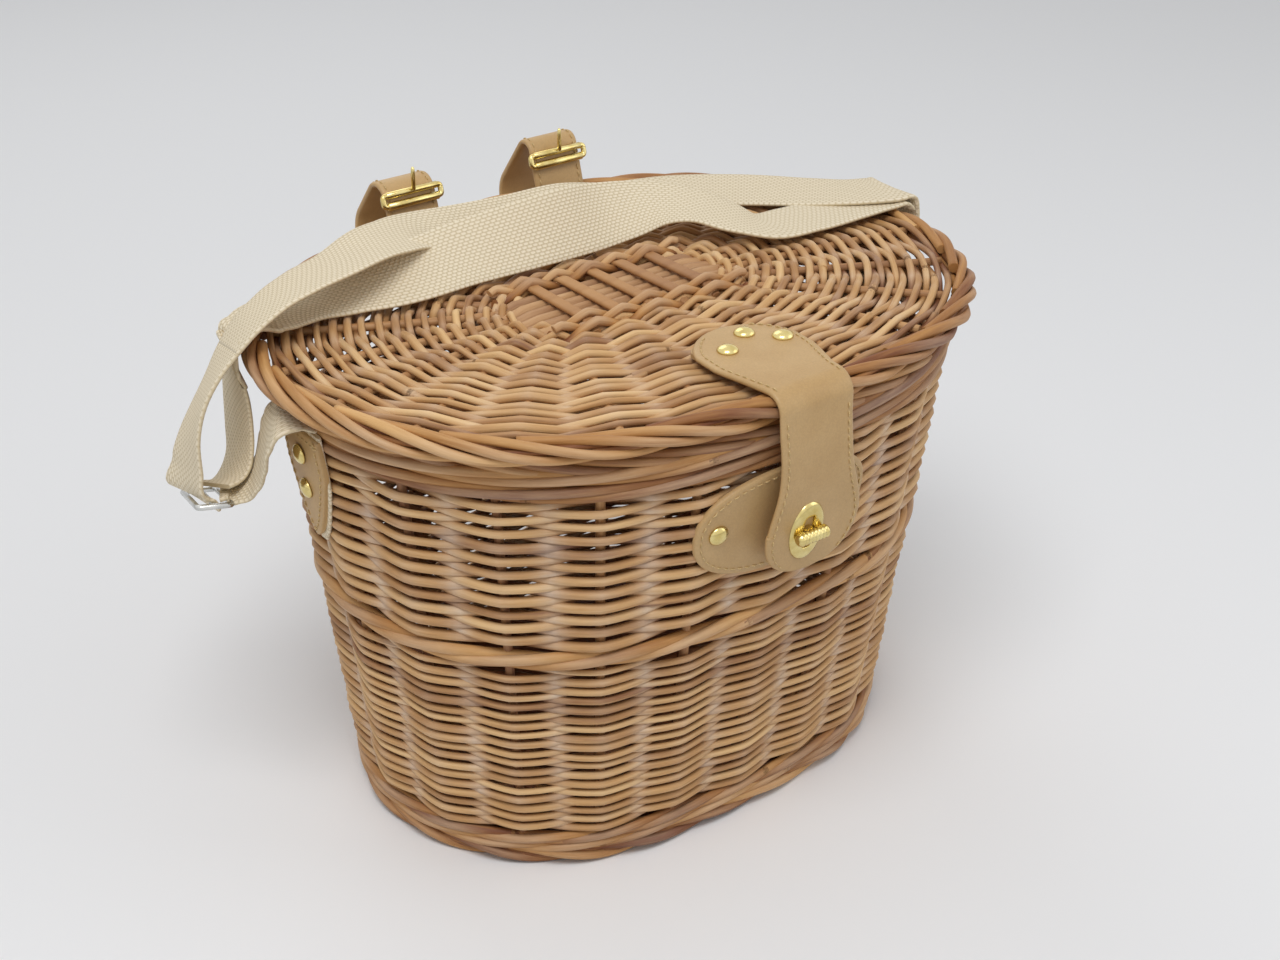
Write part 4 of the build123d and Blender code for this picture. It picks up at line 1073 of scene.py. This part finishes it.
RIM = (0.3, 0.95, 0)
FLAT = (0, 1, 0)
inner_strand = [
    ((-211.5, 48, -64.5), (0.2, 0.93, -0.3)), ((-200, 49.5, -65), (0.0, 0.91, -0.41)),
    ((-190.5, 55, -56), (0.07, 0.92, -0.4)), ((-187.5, 59, -45), (0.08, 0.94, -0.34)),
    ((-186.2, 61, -34.8), (0.1, 0.94, -0.33)), ((-185.8, 61.5, -23.9), (0.15, 0.93, -0.33)),
    ((-186.2, 61, -13), (0.25, 0.95, -0.15)),
]
front_band = [
    ((-188.4, 58, -4.5), (0.28, 0.93, -0.22)), ((-187.4, 58, 0.5), (0.28, 0.93, -0.24)),
    ((-182.5, 58.5, 3.9), (0.28, 0.93, -0.2)), ((-172, 62, 4.4), (0.3, 0.95, -0.06)),
    ((-158, 67, 4.2), (0.28, 0.95, 0.04)), ((-138.6, 69, 4.9), (0.1, 0.99, 0.11)),
    ((-115.7, 64, 8), (0.15, 0.94, 0.29)), ((-93, 58, 10.7), (0.05, 0.9, 0.43)),
    ((-55.6, 57.4, 13.5), (0.01, 0.81, 0.58)), ((-20, 54, 16), (0, 0.7, 0.7)),
    ((10, 52, 17.5), (0, 0.61, 0.79)), ((40, 55, 15.5), (0.08, 0.78, 0.58)),
    ((62, 50, 16), (0.42, 0.82, 0.32)), ((79, 37, 15), (0.66, 0.74, 0.12)),
    ((92, 23, 10), (0.68, 0.72, 0.05)), ((106, 12, 4.6), (0.35, 0.94, 0)), ((130, 9, 3.4), FLAT),
    ((165, 9, 3.2), FLAT), ((186, 9, 3.2), FLAT), ((196, 9, 2.6), FLAT), ((199.9, 9, -1), FLAT),
]
outer_strand = [
    ((-217, 48.5, -69.5), (0.18, 0.93, -0.32)), ((-222, 48, -63), (0.02, 0.92, -0.38)),
    ((-221, 48, -50.9), (0.03, 0.92, -0.39)), ((-217.5, 49, -36.7), (0.13, 0.9, -0.41)),
    ((-211, 50, -23.2), (0.19, 0.88, -0.43)), ((-202.6, 51, -11.7), (0.2, 0.9, -0.4)),
]
back_band = [
    ((-191.8, 52, 0.4), (0.18, 0.94, -0.27)), ((-181, 52, 10.4), (0.19, 0.97, -0.16)),
    ((-167.7, 53, 17.2), (0.2, 0.97, -0.14)), ((-150.1, 56, 21.6), (0.2, 0.97, -0.1)),
    ((-125, 61.5, 24), (0.2, 0.97, -0.08)), ((-97, 72.5, 24.5), (0.05, 0.99, 0.02)),
    ((-76, 82, 21), (-0.08, 0.99, 0.1)), ((-56, 89, 15.5), (-0.1, 0.95, 0.3)),
    ((-30, 90, 11), (0, 0.9, 0.42)), ((0, 89, 9), (0.02, 0.88, 0.46)),
    ((35, 89, 8.6), (0.05, 0.9, 0.42)), ((75, 89, 5.6), (0.2, 0.96, 0.12)),
    ((103, 83, 4.6), (0.42, 0.9, 0.1)), ((135, 60, 4.6), (0.6, 0.79, 0.1)),
    ((160, 35, 5), (0.6, 0.8, 0.05)),
    ((178, 19, 5.6), (0.5, 0.86, 0)), ((192, 11, 6), RIM), ((200.6, 9, 5.2), FLAT),
]
right_drop = [
    ((203, 9, -1.2), FLAT), ((203, 9, -11), FLAT), ((200, 9, -17.2), FLAT),
    ((190, 9, -18.4), FLAT), ((180.8, 9, -23.6), FLAT),
]
tab_strand = [
    ((-180.6, 9, -23.6), (0, -1, 0)), ((-183.6, 9.5, -20), (-0.2, -0.97, 0.03)),
    ((-188.2, 11, -20.2), (-0.4, -0.91, 0)), ((-191.6, 15, -26.5), (-0.43, -0.9, 0)),
    ((-192.6, 22, -38), (-0.4, -0.91, 0)), ((-192.6, 30, -50), (-0.41, -0.91, 0.03)),
    ((-194.5, 38, -61), (-0.4, -0.9, 0.15)), ((-199.5, 44.5, -67.5), (-0.33, -0.91, 0.24)),
    ((-206, 47.5, -69.6), (-0.24, -0.93, 0.28)),
]
WEB_WIDTH = 38.0
WEB_THICK = 2.0
WEB_STEP = 1.6


def webbing_run(parts):
    """One smooth run of webbing, cut into the pieces that ride on the lid and on the basket."""
    rows = np.array([list(point) + list(across) for part in parts for point, across in part[3]], float)
    rows[:, 2] += LID_TOP
    samples, places = smooth_line(rows, WEB_STEP)
    along = np.gradient(samples[:, :3], axis=0)
    begun = 0
    for name, body, node, group, rests_on in parts:
        last = begun + len(group)
        chosen = (places >= begun - 1e-6) & (places <= min(last, len(rows) - 1) + 1e-6)
        path, across = samples[chosen, :3], samples[chosen, 3:]
        piece = strip(name, path, across, WEB_WIDTH, WEB_THICK, cotton, body, lanes=10, along=along[chosen])
        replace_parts(piece, node)
        begun = last


webbing_run([
    ("strap_inner_strand", "basket", "webbing_inner_strand", inner_strand, ["slide_buckle_wire"]),
    ("strap_front_run", "lid", "webbing_front", front_band, ["lid_weave_rods"]),
])
webbing_run([
    ("strap_outer_strand", "basket", "webbing_outer_strand", outer_strand, ["slide_buckle_wire"]),
    ("strap_back_run", "lid", "webbing_back", back_band, ["lid_weave_rods"]),
    ("strap_right_drop", "basket", "webbing_right_drop", right_drop, ["top_wale_rods"]),
])
webbing_run([("strap_tab_strand", "basket", "webbing_tab_strand", tab_strand, ["top_wale_rods"])])


def clamped_webbing(side, name):
    """The end of the webbing under a leather tab, cut to a point like the tab's."""
    height = np.linspace(TAB_FOOT - 3.0, TAB_FOOT + TAB_LENGTH + 2.0, 40)
    points, outs = end_spot(side, np.full(40, TAB_Y), height, 2.5)
    width = np.clip(2 * leaf_half(height + 3.5) + 1.2, 6.0, WEB_WIDTH)
    across = np.cross(UP, outs)
    piece = strip(
        f"tab_webbing_{name}_cotton", points, across, width, WEB_THICK, cotton, "basket", lanes=10
    )
    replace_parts(piece, f"tab_webbing_{name}")


clamped_webbing(-1, "left")
clamped_webbing(1, "right")


# CAD nodes that show as they are


def finish_node(name, material):
    """Gives a CAD node its finish."""
    materials = nodes[name].data.materials
    materials.clear()
    materials.append(material)


finish_node("base_panel", willow_thick)
finish_node("base_sticks", willow_thick)
finish_node("clasp_head_lining", leather)
finish_node("turn_lock_base", brass)
for node_name in ("clasp_head_lining", "turn_lock_base"):
    soften = nodes[node_name].modifiers.new("soft_edges", "BEVEL")
    soften.width, soften.segments, soften.limit_method = 0.5 * METRE, 2, "ANGLE"


# Floor, lights and camera, in metres

FLOOR_REACH = 6.0
AIM = Vector((0, 0, 0.12))
LAMPS = [  # name, place, watts, size
    ("key", (-0.65, -0.6, 1.7), 14.5, 0.8),
    ("fill", (1.3, -0.9, 0.9), 4.0, 1.2),
    ("back", (0.3, 1.4, 1.4), 4.0, 1.0),
]
CAMERA_PLACE = (-0.56422, -0.75106, 0.65710)
CAMERA_DOWN, CAMERA_TURN = 0.4942, -0.6561  # radians below level, and from facing the clasp side
CAMERA_LENS, SENSOR_WIDTH = 56.25, 36.0


def studio_floor():
    """A plain pale floor, wide enough to fill the view."""
    mesh = bpy.data.meshes.new("floor")
    corners = [(x * FLOOR_REACH, y * FLOOR_REACH, 0) for x, y in ((-1, -1), (1, -1), (1, 1), (-1, 1))]
    mesh.from_pydata(corners, [], [(0, 1, 2, 3)])
    mesh.materials.append(
        finish_material(start_material("pale_floor"), {"Base Color": colour("#EFF0F2"), "Roughness": 0.9})
    )
    floor = bpy.data.objects.new("floor", mesh)
    bpy.context.scene.collection.objects.link(floor)


def studio_world():
    """A dim even sky for the light, which camera, gloss and glass see as nearly white."""
    world = bpy.data.worlds.new("studio")
    bpy.context.scene.world = world
    world.use_nodes = True
    world.node_tree.nodes.clear()
    rays = add_node(world, "LightPath").outputs
    shown = rays["Is Camera Ray"]
    for kind in ("Is Glossy Ray", "Is Transmission Ray"):
        shown = add_node(world, "Math", {"operation": "MAXIMUM"}, {0: shown, 1: rays[kind]})
    strength = add_node(world, "MapRange", {}, {"Value": shown, "To Min": 0.47, "To Max": 0.97})
    sky = add_node(world, "Background", {}, {"Color": (1, 1, 1, 1), "Strength": strength})
    add_node(world, "OutputWorld", {}, {"Surface": sky})


def studio_lamps():
    """Soft lamps at which a colour shows about as it is written."""
    for name, place, power, size in LAMPS:
        lamp = bpy.data.lights.new(name, "AREA")
        lamp.energy, lamp.size = power, size
        holder = bpy.data.objects.new(name, lamp)
        bpy.context.scene.collection.objects.link(holder)
        holder.location = place
        holder.rotation_euler = (AIM - Vector(place)).to_track_quat("-Z", "Y").to_euler()


def photo_camera():
    """The camera fitted to the photograph."""
    camera_data = bpy.data.cameras.new("photo_view")
    camera_data.lens, camera_data.sensor_width = CAMERA_LENS, SENSOR_WIDTH
    camera = bpy.data.objects.new("photo_view", camera_data)
    bpy.context.scene.collection.objects.link(camera)
    camera.location = CAMERA_PLACE
    camera.rotation_euler = (math.pi / 2 - CAMERA_DOWN, 0, CAMERA_TURN)
    bpy.context.scene.camera = camera
    bpy.context.scene.view_settings.view_transform = "Standard"


studio_floor()
studio_world()
studio_lamps()
photo_camera()
